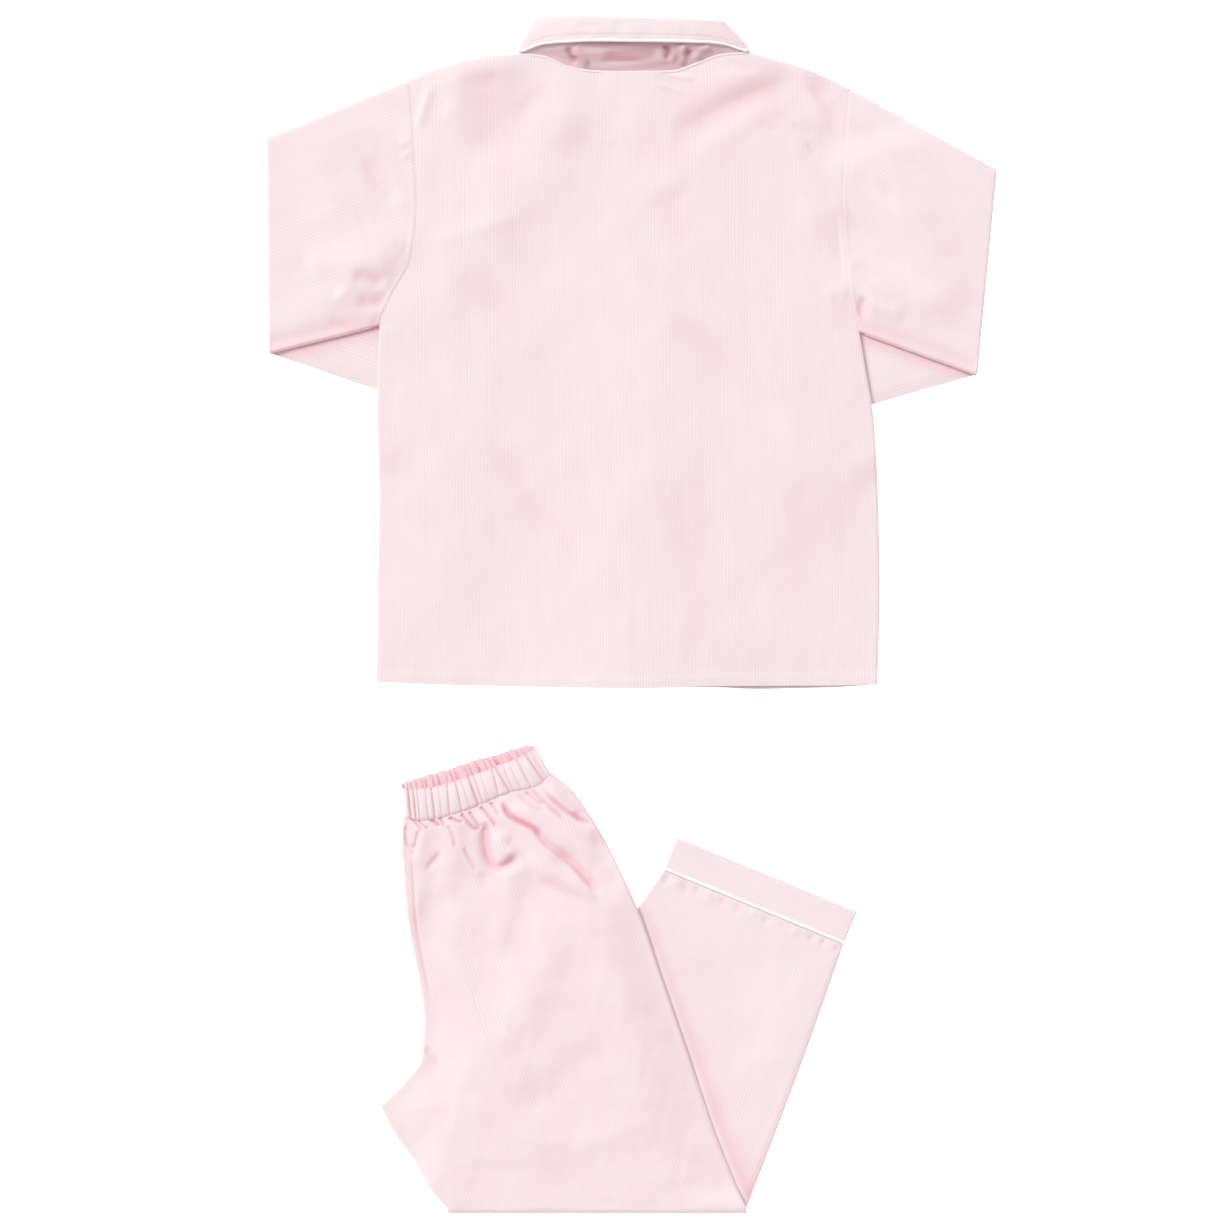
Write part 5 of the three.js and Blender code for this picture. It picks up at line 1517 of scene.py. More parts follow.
    def piping(self, form: dict[str, Array], from_edge: float) -> None:
        """The corded piping along the leaf's edge: an ellipse carried along the edge."""
        out = form["leaf"] - self.sag * form["back"]
        edge = self.place(form, form["edge"][:, None], out[:, None])[:, 0]
        run = np.gradient(edge, axis=0)
        away = np.cross(run, form["out"])
        away /= np.linalg.norm(away, axis=1)[:, None]
        centre = edge + away * from_edge
        angle = np.linspace(0, 2 * math.pi, 15)[:-1]
        points = (
            centre[:, None, :]
            + away[:, None, :] * (np.cos(angle) * COLLAR_PIPING_WIDTH / 2)[None, :, None]
            + form["out"][:, None, :] * np.outer(form["piping"] / 2, np.sin(angle))[..., None]
        )
        length = np.concatenate([[0.0], np.cumsum(np.linalg.norm(np.diff(centre, axis=0), axis=-1))])
        grain = np.stack(np.broadcast_arrays((angle * 1.3)[None, :], length[:, None]), axis=-1)
        piece = closed_roll("collar_piping_cord", points, grain)
        dress(piece, self.wardrobe.piping, ["collar_piping"])

    def neck_seam(self) -> None:
        """The rolled seam between the back and the stand, as a thin roll along the neck."""
        t = np.linspace(0, 1, 150)
        x, y = back_point(mix(NECK_LEFT, NECK_RIGHT, t), 1.0)
        z = np.full_like(x, PAIR + LAYER + WALL + 0.15)
        centre = np.stack([x, y - 0.5, z], axis=-1)
        run = np.gradient(centre, axis=0)
        run /= np.linalg.norm(run, axis=1)[:, None]
        away = np.stack([-run[:, 1], run[:, 0], 0 * t], axis=-1)
        angle = np.linspace(0, 2 * math.pi, 13)[:-1]
        shrink = np.sqrt(np.clip(np.minimum(t, 1 - t) / 0.02, 0.05, 1))[:, None, None]
        points = (
            centre[:, None, :]
            + away[:, None, :] * (np.cos(angle) * 1.25)[None, :, None] * shrink
            + np.array([0, 0, 1.0]) * (np.sin(angle) * 0.7)[None, :, None] * shrink
        )
        length = np.concatenate([[0.0], np.cumsum(np.linalg.norm(np.diff(centre, axis=0), axis=-1))])
        grain = np.stack(np.broadcast_arrays((angle * 1.2)[None, :], length[:, None]), axis=-1)
        piece = closed_roll("neck_seam_roll", points, grain)
        dress(piece, self.wardrobe.outside)


def closed_roll(name: str, points: Array, grain: Array) -> bpy.types.Object:
    """A roll whose two ends are closed by drawing the first and last rings to a point."""
    first = np.repeat(points[:1].mean(axis=1, keepdims=True), points.shape[1], axis=1)
    last = np.repeat(points[-1:].mean(axis=1, keepdims=True), points.shape[1], axis=1)
    rings = np.concatenate([first, points, last])
    flat = np.concatenate([grain[:1], grain, grain[-1:]])
    piece = surface(name, rings, flat, round_columns=True)
    shape = bmesh.new()
    shape.from_mesh(piece.data)
    bmesh.ops.remove_doubles(shape, verts=shape.verts, dist=1e-7)
    bmesh.ops.recalc_face_normals(shape, faces=shape.faces)
    shape.to_mesh(piece.data)
    shape.free()
    return piece


# Trousers
KNEE_Y = -478.6
KNEE_RADIUS = LEG_STACK + GAP / 2
KNEE_ROW_Y = KNEE_Y + KNEE_RADIUS
LIFT = LEG_STACK + GAP
LIFT_MARGIN = 17.0
LIFT_RAMP = 34.0
LIFT_BRIDGE = 150.0
LAST_ROW = 14
ROW_STEP = 13.0
LEG_ROWS = Table(
    "row",
    corners=(10,),
    row=range(15),
    left_x=(
        -181.6, -182.6, -183.4, -181.6, -180.8, -177.2, -171, -165.6, -167.2, -182.4, -200.4, -190.4,
        -173.6, -159.2, -147,
    ),
    left_y=(
        -161.4, -174, -188, -204, -220, -252, -283, -322, -352, -374.6, -392.2, -412, -436, -460,
        KNEE_ROW_Y,
    ),
    right_x=(-62.8, -47, -33.6, -19.6, -8, 8.6, 22, 33.8, 44.8, 54, 61.2, 68.4, 77.6, 86.2, 92.4),
    right_y=(
        -127, -140.4, -159, -182.4, -205.6, -243, -282, -316, -348, -376, -398, -418, -441, -461,
        KNEE_ROW_Y,
    ),
)  # fmt: skip
WAIST = Table(
    "along",
    along=(0, 0.125, 0.25, 0.375, 0.5, 0.625, 0.75, 0.875, 1),
    seam_x=(-181.6, -167.2, -152, -136.8, -121.6, -106.8, -92, -77.2, -62.8),
    seam_y=(-161, -163.4, -161, -156.9, -151, -144.7, -140, -137, -127),
    near_x=(-184, -171.2, -157.6, -144, -131.2, -118.4, -105.6, -90.4, -75.2),
    near_y=(-138.6, -138.6, -137.4, -133.4, -129.4, -125, -119.8, -114.2, -105),
    far_x=(-183.2, -171.2, -159.2, -147.2, -134.4, -122.4, -109.6, -94.4, -77.6),
    far_y=(-134.6, -131, -127.4, -124.2, -119.8, -115.8, -112.6, -107.8, -103.8),
)  # fmt: skip
LOWER_LEFT = ((-147.0, KNEE_ROW_Y), (25.6, -204.0), -3.0)
LOWER_RIGHT = ((92.4, KNEE_ROW_Y), (169.8, -263.6), 1.5)


def lower_edge(edge: tuple[Place, Place, float], t: Array) -> Array:
    """A side of the lower legs from the knee to the hem, bowed by part of a sine."""
    knee, piping, bow = edge
    place = mix(np.array(knee), np.array(piping), np.asarray(t)[..., None])
    return place + np.stack([bow * np.sin(math.pi * t), 0 * t], axis=-1)


def lift_share(x: Array, y: Array, from_edge: Array | None = None) -> Array:
    """How much of the lower half lifts a place of the upper half, from 0 to 1.

    With a distance from the leg's edge, the cloth bridges in a long soft slope away from there.
    """
    (kx, ky), (px_, py_), _ = LOWER_LEFT
    run = np.array([px_ - kx, py_ - ky])
    left_of = (run[0] * (y - ky) - run[1] * (x - kx)) / np.linalg.norm(run)
    near = 1.0 - smoothstep(0.0, LIFT_RAMP, left_of - LIFT_MARGIN)
    if from_edge is None:
        return near
    soft = 1.0 - smoothstep(0.0, LIFT_BRIDGE, left_of)
    return mix(near, soft, smoothstep(0.0, EDGE_ZONE, from_edge))


@dataclass
class LegLayer:
    """One layer of the folded trousers, from the waist seam round the knee fold to the hem."""

    name: str
    radius: float
    up_on_top: bool
    columns: int = 140
    upper_rows: int = 210
    knee_rows: int = 10
    lower_rows: int = 50
    folds: tuple[Fold, ...] = ()
    soft: tuple[Fold, ...] = ()
    lower_folds: tuple[Fold, ...] = ()
    ripple: Ripple = Ripple(seed=41, height=0.55, longest=80, shortest=8, waves=22)
    edge_meet: float = 0.9
    inset: float = 0.0
    stripe_slope: float = 18.0
    fold_share: float = 0.78
    tint_share: float = 0.68
    edge_radius: float = 2.4

    def grid(self) -> tuple[Array, Array, Array]:
        """The layer's points, its grain and its crease tint.

        Formula: up to the knee a row goes straight across between the leg's two edges; then the
        rows turn half a circle about the knee line, and lie flat again on the way to the hem.
        """
        v = (1 - np.cos(np.linspace(0, math.pi, self.columns))) / 2
        v = mix(np.linspace(0, 1, self.columns), v, 0.3)
        inset = self.inset / LEG_WIDTH
        v = inset + v * (1 - 2 * inset)
        rows = np.linspace(0, 1, self.upper_rows) ** 1.15 * LAST_ROW
        s, across = np.meshgrid(rows, v, indexing="ij")
        x = mix(LEG_ROWS.read("left_x", s), LEG_ROWS.read("right_x", s), across)
        y = mix(LEG_ROWS.read("left_y", s), LEG_ROWS.read("right_y", s), across)
        seam_x, seam_y = WAIST.read("seam_x", across), WAIST.read("seam_y", across)
        straight_x = mix(LEG_ROWS.columns["left_x"][0], LEG_ROWS.columns["right_x"][0], across)
        straight_y = mix(LEG_ROWS.columns["left_y"][0], LEG_ROWS.columns["right_y"][0], across)
        near_waist = 1 - smoothstep(0.0, 2.2, s)
        x = x + (seam_x - straight_x) * near_waist
        y = y + (seam_y - straight_y) * near_waist
        radius = np.full_like(x, self.radius)
        edge = np.minimum(across, 1 - across) * LEG_WIDTH
        share = lift_share(x, y, edge if self.folds else None)
        folds, tint = relief(self.folds, x, y)
        folds = self.fold_share * folds
        tint = self.tint_share * tint
        # a faint even tint toward the crease colour, a little more by the waist
        if self.folds:
            tint = tint + mix(0.06, 0.03, smoothstep(0.0, 6.0, s))
        soft, _ = relief(self.soft, x, y)
        sign = 1.0 if self.up_on_top else -1.0
        fade = smoothstep(-0.2, 1.0, s)
        height = np.zeros_like(x)
        if self.up_on_top:
            ripple = self.ripple.at(x, y) * fade * smoothstep(0, 12, edge)
            height = folds + 0.6 * soft * (0.5 + 0.5 * fade) + ripple
        meet = sign * edge_fall(edge, self.edge_radius, self.edge_meet)
        if self.folds:
            # the lifted side edge rolls down over the layers inside
            roll = smoothstep(0.5, 1.0, across) * smoothstep(1.0, 3.5, s)
            meet = mix(meet, 0.8 * (1.0 - np.clip(edge / 2.6, 0, 1)) ** 2, roll)
            # painted shade along the rolled right edge
            tint = tint + 0.1 * roll * np.exp(-((edge / 2.0) ** 2))
            # painted shade along the left edge near the waist
            from_left = across * LEG_WIDTH
            tint = tint + 0.1 * np.exp(-((from_left / 9.0) ** 2)) * (1 - smoothstep(5.0, 9.0, s))
        z = KNEE_RADIUS + radius * self.pressed(across, s) - LIFT * (1 - share) + height - meet
        upper = np.stack([x, y, z], axis=-1)
        if self.folds:
            upper, tint = self.tuck(upper, tint, s * ROW_STEP)
        knee_x = mix(self.knee(0)[0], self.knee(1)[0], v)
        edge_v = np.minimum(v, 1 - v) * LEG_WIDTH
        meet_v = sign * edge_fall(edge_v, self.edge_radius, self.edge_meet)
        turns = []
        for t in np.linspace(0, 1, self.knee_rows + 2)[1:-1]:
            angle = math.pi * (0.5 - t)
            r = self.radius - meet_v
            turns.append(
                np.stack(
                    [knee_x, KNEE_ROW_Y - r * math.cos(angle), KNEE_RADIUS + r * math.sin(angle)],
                    axis=-1,
                )
            )
        t_low, v_low = np.meshgrid(np.linspace(0, 1, self.lower_rows), v, indexing="ij")
        low = mix(lower_edge(LOWER_LEFT, t_low), lower_edge(LOWER_RIGHT, t_low), v_low[..., None])
        folds_low, tint_low = relief(self.lower_folds, low[..., 0], low[..., 1])
        clear = 1.0 - self.covered(low[..., 0], low[..., 1])
        rise = np.zeros_like(clear)
        if self.lower_folds:
            rise = (folds_low + 0.6 * self.ripple.at(low[..., 0], low[..., 1])) * clear
        edge_low = np.minimum(v_low, 1 - v_low) * LEG_WIDTH
        meet_low = sign * edge_fall(edge_low, self.edge_radius, self.edge_meet)
        z_low = KNEE_RADIUS - (self.radius - meet_low) + rise
        lower = np.concatenate([low, z_low[..., None]], axis=-1)
        if self.lower_folds:
            tint_low = tint_low + self.shade(low[..., 0], low[..., 1], t_low)
            seam = (1 - v_low) * LOWER_LEG_WIDTH
            tint_low = tint_low + 0.2 * np.exp(-(((seam - 3.0) / 1.2) ** 2))
        points = np.concatenate([upper, np.array(turns), lower])
        flat = points[..., :2].copy()
        past_knee = len(upper) + self.knee_rows
        flat[past_knee:, :, 1] = 2 * KNEE_ROW_Y - flat[past_knee:, :, 1]
        slope = math.radians(self.stripe_slope)
        grain = np.stack(
            [
                flat[..., 0] * math.cos(slope) + flat[..., 1] * math.sin(slope),
                -flat[..., 0] * math.sin(slope) + flat[..., 1] * math.cos(slope),
            ],
            axis=-1,
        )
        all_tint = np.concatenate([tint, np.zeros((self.knee_rows, len(v))), tint_low * clear])
        return points, grain, all_tint

    def pressed(self, across: Array, row: Array) -> Array:
        """How thick the stack lies, as a share: thinner along the side edge over the lower half.

        Formula: it falls smoothly over the last fifth of the width, past the first rows and
        before the knee.
        """
        beside = smoothstep(0.78, 1.0, across) * smoothstep(3.0, 6.5, row)
        return 1.0 - 0.66 * beside * (1.0 - smoothstep(12.4, 14.0, row))

    def tuck(self, upper: Array, tint: Array, from_seam: Array) -> tuple[Array, Array]:
        """Turns the cloth down beside the waist seam and carries it on under the band.

        Formula: a bell-shaped ditch at the seam, and one more row that goes on past it.
        """
        ditch = np.exp(-((from_seam / 1.6) ** 2))
        z = upper[..., 2]
        upper[..., 2] = z - 0.1 * ditch
        # painted shade in the ditch, in hollows and on slopes turned from the key light
        turned = 0.4 * turned_from_light(upper)
        tint = np.clip(tint + 0.12 * hollow(z, 16, 1.6) + 0.05 * ditch + turned, 0, 1)
        back = upper[0] - upper[4]
        back = back / np.linalg.norm(back[:, :2], axis=1)[:, None] * 1.8
        row = upper[0] + back
        row[:, 2] = upper[0, :, 2] - 0.7
        return np.concatenate([row[None], upper]), np.concatenate([tint[:1], tint])

    def shade(self, x: Array, y: Array, t: Array) -> Array:
        """The painted shadow of the upper leg on the lower leg beside it, wider towards the knee."""
        edge_x, edge_y = self.right_edge()
        distance = along_path(tuple(zip(edge_x.tolist(), edge_y.tolist())), x, y)[0]
        near = 0.3 * np.exp(-((distance / mix(13.0, 5.5, t)) ** 2))
        return near + 0.05 * np.exp(-((distance / 26.0) ** 2))

    def right_edge(self) -> tuple[Array, Array]:
        """Places down the upper half's right edge, as X and Y."""
        rows = np.linspace(0, LAST_ROW, 80)
        return LEG_ROWS.read("right_x", rows), LEG_ROWS.read("right_y", rows)

    def knee(self, side: int) -> Place:
        """The knee line's left or right end."""
        return (LOWER_LEFT if side == 0 else LOWER_RIGHT)[0]

    def covered(self, x: Array, y: Array) -> Array:
        """How much of the lower half lies under the upper half, from 0 to 1."""
        edge_x, edge_y = self.right_edge()
        order = np.argsort(edge_y)
        edge_at = np.interp(y, edge_y[order], edge_x[order])
        return 1.0 - smoothstep(0.5, 7.0, x - edge_at)

    def build(self, name: str, turned: bool) -> bpy.types.Object:
        """Makes the layer as one sheet."""
        points, grain, tint = self.grid()
        return surface(name, points, grain, tint, turned=turned)


# Valleys between the gathers on the casing's near side, from left to right: the share of its
# length at the seam and at the edge, the depth from 0 to 1, and the width
NEAR_VALLEYS = (
    (0.055, 0.060, 0.85, 1.0),
    (0.090, 0.100, 0.70, 0.9),
    (0.115, 0.130, 0.45, 0.8),
    (0.175, 0.190, 0.40, 0.9),
    (0.215, 0.235, 0.65, 1.0),
    (0.262, 0.285, 0.25, 0.9),
    (0.312, 0.350, 0.55, 1.1),
    (0.392, 0.412, 0.60, 1.0),
    (0.448, 0.452, 0.30, 0.8),
    (0.500, 0.512, 0.90, 1.2),
    (0.528, 0.555, 0.55, 0.9),
    (0.575, 0.600, 0.25, 0.9),
    (0.635, 0.700, 0.60, 1.0),
    (0.712, 0.722, 0.90, 1.3),
    (0.735, 0.775, 0.45, 0.9),
    (0.790, 0.815, 0.30, 0.9),
    (0.855, 0.866, 0.65, 1.0),
    (0.940, 0.925, 0.95, 0.9),
)


@dataclass
class Waistband:
    """The casing with the elastic in it, gathered, round all four layers."""

    wardrobe: Wardrobe
    gathers: int = 18
    points_a_gather: int = 20
    far_gathers: int = 27
    steps: int = 20
    first: float = 0.03
    last: float = 0.93
    heights: tuple[float, float] = (1.9, 1.1)
    layers: tuple[float, float, float, float] = (2.15, 0.65, -0.65, -1.95)
    stitch: float = 2.8
    belly: float = 0.24
    casing_depth: float = 24.0
    seed: int = 51

    def path(self, length: float) -> tuple[Array, Array, Array, Array]:
        """The band's path round the four layers.

        Returns:
            For each place: the distance along the band, its height about the stack's middle, how
            far it reaches from the near edge to the far one, and how high its gathers stand.
        """
        near, far, hidden, bottom = self.layers
        start = (near - bottom) / 2 + WALL / 2 - GAP
        end = length - (near - far) / 2 - WALL
        parts = []

        def gathered(low: float, high: float, height: float, gather: float, reach: float) -> None:
            count = self.gathers * self.points_a_gather
            s = np.linspace(low, high, count)
            parts.append((s, np.full(count, height), np.full(count, reach), np.full(count, gather)))

        def turn(at: float, low: float, high: float, side: int, reaches: tuple[float, float]) -> None:
            t = np.linspace(0, 1, 12)[1:-1]
            radius = abs(high - low) / 2
            angle = math.pi * (0.5 - t)
            z = (low + high) / 2 + (-1 if low < high else 1) * radius * np.sin(angle)
            parts.append((at + side * radius * np.cos(angle), z, mix(*reaches, t), 0 * t))

        def flat(low: float, high: float, height: float) -> None:
            s = np.linspace(low, high, 60)
            parts.append((s, np.full(60, height), np.ones(60), np.zeros(60)))

        gathered(start, end, near, self.heights[0], 0.0)
        turn(end, near, far, 1, (0.0, 1.0))
        gathered(end, start + LAYER, far, self.heights[1], 1.0)
        turn(start + LAYER, far, hidden, -1, (1.0, 1.0))
        flat(start + LAYER, end, hidden)
        turn(end, hidden, bottom, 1, (1.0, 1.0))
        flat(end, start, bottom)
        turn(start, bottom, near, -1, (1.0, 0.0))
        return tuple(np.concatenate(column) for column in zip(*parts))

    def gather_wave(
        self, s: Array, up: Array, length: float, valleys: Sequence[tuple[float, ...]]
    ) -> Array:
        """Rounded ridges with sharp valleys between them, from 0 in a deep valley to 1.

        Formula: each valley is a pointed bell of the distance from its line, which slants from
        its place at the seam to its place at the edge; the valleys' depths add up.
        """
        wave = np.ones_like(s)
        for low, high, depth, width in valleys:
            away = np.abs(s - mix(low, high, up) * length) / width
            wave = wave - depth * np.exp(-(away**1.3))
        return np.clip(wave, 0.0, 1.0)

    def far_valleys(self, rng: np.random.Generator) -> tuple[tuple[float, ...], ...]:
        """The far side's valleys, uneven in place, slant, depth and width."""
        count = self.far_gathers
        at = (np.arange(count) + 0.5 + rng.uniform(-0.42, 0.42, count)) / count
        slant = rng.uniform(-0.02, 0.02, count)
        depth = rng.uniform(0.3, 1.0, count)
        width = rng.uniform(0.7, 1.5, count)
        return tuple(zip(at, at + slant, depth, width))

    def build(self) -> None:
        """Makes the band as a grid: round its path, and from the seam up to its edge."""
        rng = np.random.default_rng(self.seed)
        ends = np.array(
            [[WAIST.read(f"seam_{c}", a) for c in "xy"] for a in (0.0, 1.0)], float
        )
        length = float(np.linalg.norm(ends[1] - ends[0]))
        s, z, reach, gather = self.path(length)
        ups = np.linspace(0, 1, self.steps) ** 1.35
        up, s_grid = np.meshgrid(ups, s, indexing="ij")
        z_grid, reach_grid, gather_grid = (
            np.broadcast_to(column, s_grid.shape) for column in (z, reach, gather)
        )
        along = np.clip(s_grid / length, 0, 1)
        near_face = reach_grid < 0.5
        wave = np.where(
            near_face,
            self.gather_wave(s_grid, up, length, NEAR_VALLEYS),
            self.gather_wave(s_grid, up, length, self.far_valleys(rng)),
        )
        seam = np.stack([WAIST.read("seam_x", along), WAIST.read("seam_y", along)], axis=-1)
        near = np.stack([WAIST.read("near_x", along), WAIST.read("near_y", along)], axis=-1)
        far = np.stack([WAIST.read("far_x", along), WAIST.read("far_y", along)], axis=-1)
        smooth_end = 1.0 - smoothstep(self.last, self.last + 0.04, along)
        smooth_start = smoothstep(0.0, self.first, along)
        lively = gather_grid * smooth_end * smooth_start
        edge_wave = (wave - 0.75) * (1.8 + 2.6 * reach_grid) * (lively > 0)
        edge_wave = edge_wave * smoothstep(0.6, 1.0, up) * (0.35 + 0.65 * reach_grid)
        top = mix(near, far, reach_grid[..., None])
        out_way = (top - seam) / np.linalg.norm(top - seam, axis=-1)[..., None]
        xy = mix(seam, top, up[..., None]) + out_way * edge_wave[..., None]
        arch = np.sin(math.pi * up)
        stand = lively * wave * (0.55 + 0.45 * arch) + self.belly * arch * (gather_grid > 0)
        outer = np.sign(z_grid + 0.01) * WALL / 2
        wall = np.where(np.abs(z_grid) > 1.0, outer, 0.25 * np.sign(z_grid))
        z_out = STACK_MIDDLE + z_grid + stand + wall
        from_seam = up * np.linalg.norm(top - seam, axis=-1)
        on_top = near_face & (z_grid > 0)
        seam_line = np.exp(-((from_seam / 1.3) ** 2))
        stitch_row = np.exp(-(((from_seam - 1.5) / 0.5) ** 2))
        stitch = np.sin(2 * math.pi * s_grid / self.stitch) * stitch_row
        first = up == 0
        z_out = z_out - np.where(on_top, 0.15 * seam_line + 0.6 * first - 0.14 * stitch, 0.0)
        tucked = np.where(on_top, 0.9, 0.0) * first
        xy = xy - out_way * tucked[..., None]
        points = np.concatenate([xy, z_out[..., None]], axis=-1)
        # painted shade: in the valleys between the gathers, on the far side inside the casing, on slopes
        # turned from the key light, along the seam and at the rim
        valley = (1 - wave) ** 1.3 * (lively > 0.2)
        inside = (reach_grid > 0.5) & (gather_grid > 0)
        rim = smoothstep(0.9, 1.0, up)
        deep = (0.3 + 0.6 * valley) * (1.0 - 0.6 * rim) * smoothstep(0.0, 0.05, along)
        shown = 0.4 * valley + 0.3 * turned_from_light(points) + 0.05 * seam_line + 0.25 * rim
        tint = np.clip(np.where(inside, deep, np.where(on_top, shown, 0.5 * rim)), 0, 1)
        step = np.linalg.norm(np.diff(points[self.steps // 2], axis=0), axis=-1)
        arc = np.concatenate([[0.0], np.cumsum(step)])
        grain = np.stack([np.broadcast_to(arc, up.shape), up * self.casing_depth], axis=-1)
        piece = surface("waistband_casing", points, grain, tint, round_columns=True)
        thicken(piece)
        dress(piece, self.wardrobe.outside, ["waistband"])


@dataclass
class Hem:
    """A leg's turned-up hem band and the piping in its seam, as flattened rings."""

    wardrobe: Wardrobe
    leg: str
    low: float
    high: float
    proud: float
    band: float = 25.3
    piping: float = 2.6
    side_bend: float = 1.2
    columns: int = 90
    ripple: Ripple = Ripple(seed=61, height=0.22, longest=60, shortest=6, waves=14)

    def frame(self) -> tuple[Array, Array, Array, float]:
        """The seam's left end, the way along it, the way past the leg's end, and the width."""
        left, right = np.array(LOWER_LEFT[1]), np.array(LOWER_RIGHT[1])
        width = float(np.linalg.norm(right - left))
        along = (right - left) / width
        return left, along, np.array([-along[1], along[0]]), width

    def ring(self, distances: Array, proud: float, lively: bool) -> tuple[Array, Array]:
        """Rings round the leg at distances past its end.

        Formula: straight across on the upper wall and back on the lower one, joined by half an
        ellipse at each side.
        """
        left, along, past, width = self.frame()
        bend = self.side_bend
        s_top = np.linspace(bend, width - bend, self.columns)
        angle = np.linspace(math.pi / 2, -math.pi / 2, 8)[1:-1]
        mid = (self.low + self.high) / 2
        half = (self.high - self.low) / 2
        turn = bend * np.cos(angle)
        s = np.concatenate([s_top, width - bend + turn, s_top[::-1], bend - turn])
        z_top = np.full(self.columns, mid + half + proud)
        z_low = np.full(self.columns, mid - half)
        z = np.concatenate([z_top, mid + half * np.sin(angle), z_low, mid - half * np.sin(angle)])
        d, s_grid = np.meshgrid(distances, s, indexing="ij")
        place = left + along * s_grid[..., None] + past * d[..., None]
        on_top = np.concatenate([np.ones(self.columns), 0 * angle, np.zeros(self.columns), 0 * angle])
        height = np.broadcast_to(z, d.shape).copy()
        if lively:
            height += self.ripple.at(place[..., 0], place[..., 1]) * on_top
        arc = np.concatenate([[0.0], np.cumsum(np.hypot(np.diff(s), np.diff(z)))])
        grain = np.stack([d, np.broadcast_to(arc, d.shape)], axis=-1)
        return np.concatenate([place, height[..., None]], axis=-1), grain

    def build(self) -> None:
        """Makes the piping and the band."""
        start = GAP
        angle = np.linspace(-math.pi / 2, math.pi / 2, 9)
        d = start + self.piping / 2 + (self.piping / 2 + 0.15) * np.sin(angle)
        points, grain = self.ring(d, 0.0, False)
        swell = np.cos(angle)[:, None] * (self.proud + 0.55)
        up = np.sign(points[..., 2] - (self.low + self.high) / 2)
        points[..., 2] += np.where(up > 0, swell - 0.4, 0.0)
        piping = surface(f"{self.leg}_hem_piping_cord", points, grain, round_columns=True)
        thicken(piping)
        dress(piping, self.wardrobe.piping, [f"{self.leg}_hem_piping"])
        begin = start + self.piping + 0.1
        steps = np.linspace(0, 1, 26)
        d = begin + steps * (self.band + 0.2)
        points, grain = self.ring(d, 0.0, True)
        fall = edge_fall((1 - steps) * self.band, 1.6, 0.5)[:, None]
        up = np.sign(points[..., 2] - (self.low + self.high) / 2)
        points[..., 2] -= up * fall
        band = surface(f"{self.leg}_hem_band_cloth", points, grain, round_columns=True)
        thicken(band)
        dress(band, self.wardrobe.outside, [f"{self.leg}_hem_band"])


@dataclass
class Trousers:
    """The folded legs, the waistband and the hems."""

    wardrobe: Wardrobe

    def build(self) -> None:
        """Makes every piece of the trousers."""
        lower_folds = BROAD_LOWER_FOLDS + hem_puckers(LOWER_LEFT[1], LOWER_RIGHT[1])
        outer = (
            LegLayer("top_leg", KNEE_RADIUS, True, folds=LEG_FOLDS, soft=TROUSER_SOFT_FOLDS),
            LegLayer(
                "bottom_leg", GAP / 2, False, lower_folds=lower_folds, upper_rows=90, lower_rows=150
            ),
        )
        for layer in outer:
            leg = layer.build(f"{layer.name}_cloth", layer.up_on_top)
            thicken(leg)
            dress(leg, self.wardrobe.outside, [layer.name])
        sheets = []
        for name, radius, up_on_top in (("inner_upper", 3.55, True), ("inner_lower", 1.65, False)):
            layer = LegLayer(
                name,
                radius,
                up_on_top,
                columns=30,
                upper_rows=60,
                lower_rows=30,
                edge_meet=-0.3,
                inset=0.8,
            )
            sheets.append(layer.build(name, up_on_top))
        both = joined(sheets, "inner_leg_cloth")
        thicken(both)
        dress(both, self.wardrobe.inside, ["inner_layers"])
        Waistband(self.wardrobe).build()
        Hem(self.wardrobe, "bottom_leg", PAIR, LEG_STACK, 0.6).build()
        Hem(self.wardrobe, "top_leg", 0.0, PAIR - GAP, 0.0).build()


@dataclass
class Buttons:
    """The four buttons, which keep their solids and get their finish."""

    wardrobe: Wardrobe
    count: int = 4

    def build(self) -> None:
        """Dresses the solids."""
        for number in range(1, self.count + 1):
            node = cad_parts[f"button_{number}"]
            node.data.materials.clear()
            node.data.materials.append(self.wardrobe.plastic)
            log.info("%s keeps its solid", node.name)


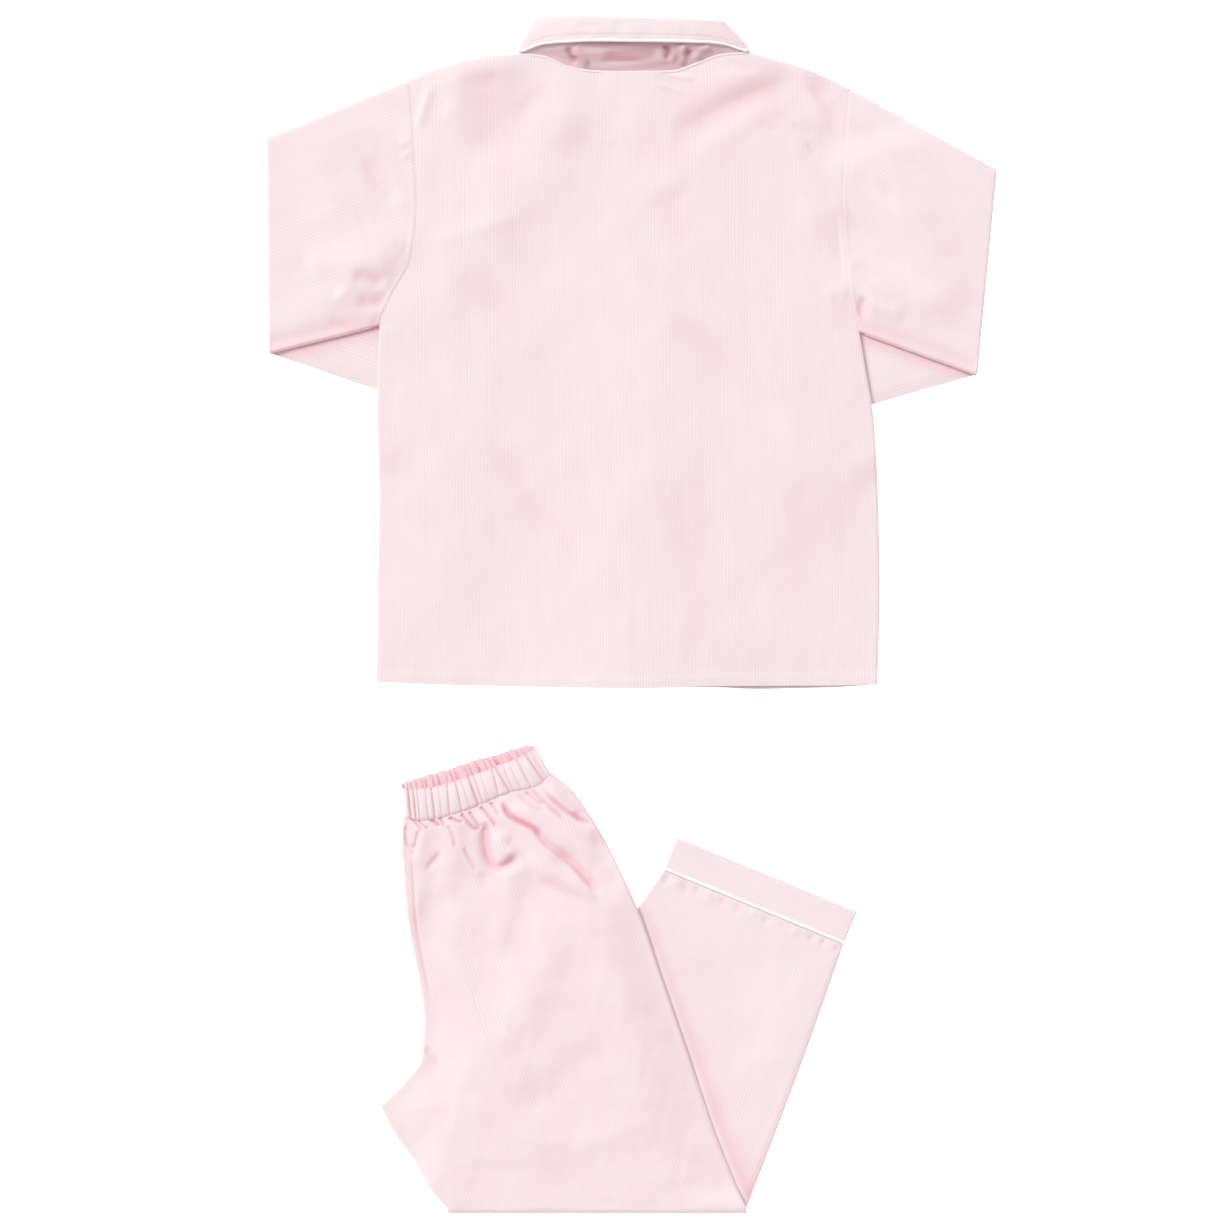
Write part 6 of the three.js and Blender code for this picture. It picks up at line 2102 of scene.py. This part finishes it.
@dataclass
class Studio:
    """A plain pale floor, soft light and a camera straight above."""

    view_width: float = 982.4
    view_centre: Place = (-13.6, 0.6)
    camera_height: float = 4000.0
    sensor: float = 36.0
    floor_reach: float = 4000.0
    floor_height: float = -0.05

    def floor(self) -> None:
        """A level white sheet, just under the set."""
        x, y = np.meshgrid((-self.floor_reach, self.floor_reach), (-self.floor_reach, self.floor_reach))
        corners = np.stack([x, y, np.full_like(x, self.floor_height)], axis=-1)
        ground = surface("floor", corners, corners[..., :2])
        material, tree = new_material("matt_white_paper_floor")
        shader = add_node(
            tree,
            "ShaderNodeBsdfPrincipled",
            {
                "Base Color": linear("fdfdfd"),
                "Roughness": 0.95,
                "Specular IOR Level": 0.1,
                "Emission Color": linear("ffffff"),
                "Emission Strength": 0.9,
            },
        )
        add_node(tree, "ShaderNodeOutputMaterial", links={"Surface": shader.outputs[0]})
        ground.data.materials.append(material)

    def light(
        self, name: str, place: tuple[float, float, float], spread: float, strength: float
    ) -> None:
        """A large soft light far away, so that it falls evenly on the whole set.

        Args:
            name: the light's name.
            place: where it shines from, towards the set's middle, in metres.
            spread: how wide it looks from the set, in degrees.
            strength: its light in watts per square metre.
        """
        data = bpy.data.lights.new(name, "SUN")
        data.angle = math.radians(spread)
        data.energy = strength
        lamp = bpy.data.objects.new(name, data)
        lamp.location = place
        lamp.rotation_euler = (-Vector(place)).to_track_quat("-Z", "Y").to_euler()
        bpy.context.scene.collection.objects.link(lamp)

    def build(self) -> None:
        """Makes the floor, the lights, the world and the camera."""
        self.floor()
        self.light("key_soft_box", KEY_LIGHT, 34.0, 2.35)
        self.light("fill_soft_box", (2.2, -1.4, 3.4), 60.0, 0.3)
        world = bpy.data.worlds.new("studio")
        world.use_nodes = True
        sky = world.node_tree.nodes["Background"]
        sky.inputs["Color"].default_value = linear("fff3f5")
        sky.inputs["Strength"].default_value = 0.56
        bpy.context.scene.world = world
        data = bpy.data.cameras.new("camera")
        data.sensor_width = self.sensor
        data.lens = self.sensor * self.camera_height / self.view_width
        data.clip_start, data.clip_end = 0.1, 100.0
        camera = bpy.data.objects.new("camera", data)
        x, y = self.view_centre
        camera.location = (x * MM, y * MM, self.camera_height * MM)
        bpy.context.scene.collection.objects.link(camera)
        bpy.context.scene.camera = camera
        bpy.context.scene.view_settings.view_transform = "Standard"


def main() -> None:
    """Builds the set and the studio."""
    logging.basicConfig(level=logging.INFO, format="%(message)s")
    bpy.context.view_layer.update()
    wardrobe = Wardrobe.make()
    JacketBody(wardrobe).build()
    for form in SLEEVES:
        Sleeve(wardrobe, form).build()
    Collar(wardrobe).build()
    Buttons(wardrobe).build()
    Trousers(wardrobe).build()
    Studio().build()


if __name__ == "__main__":
    main()
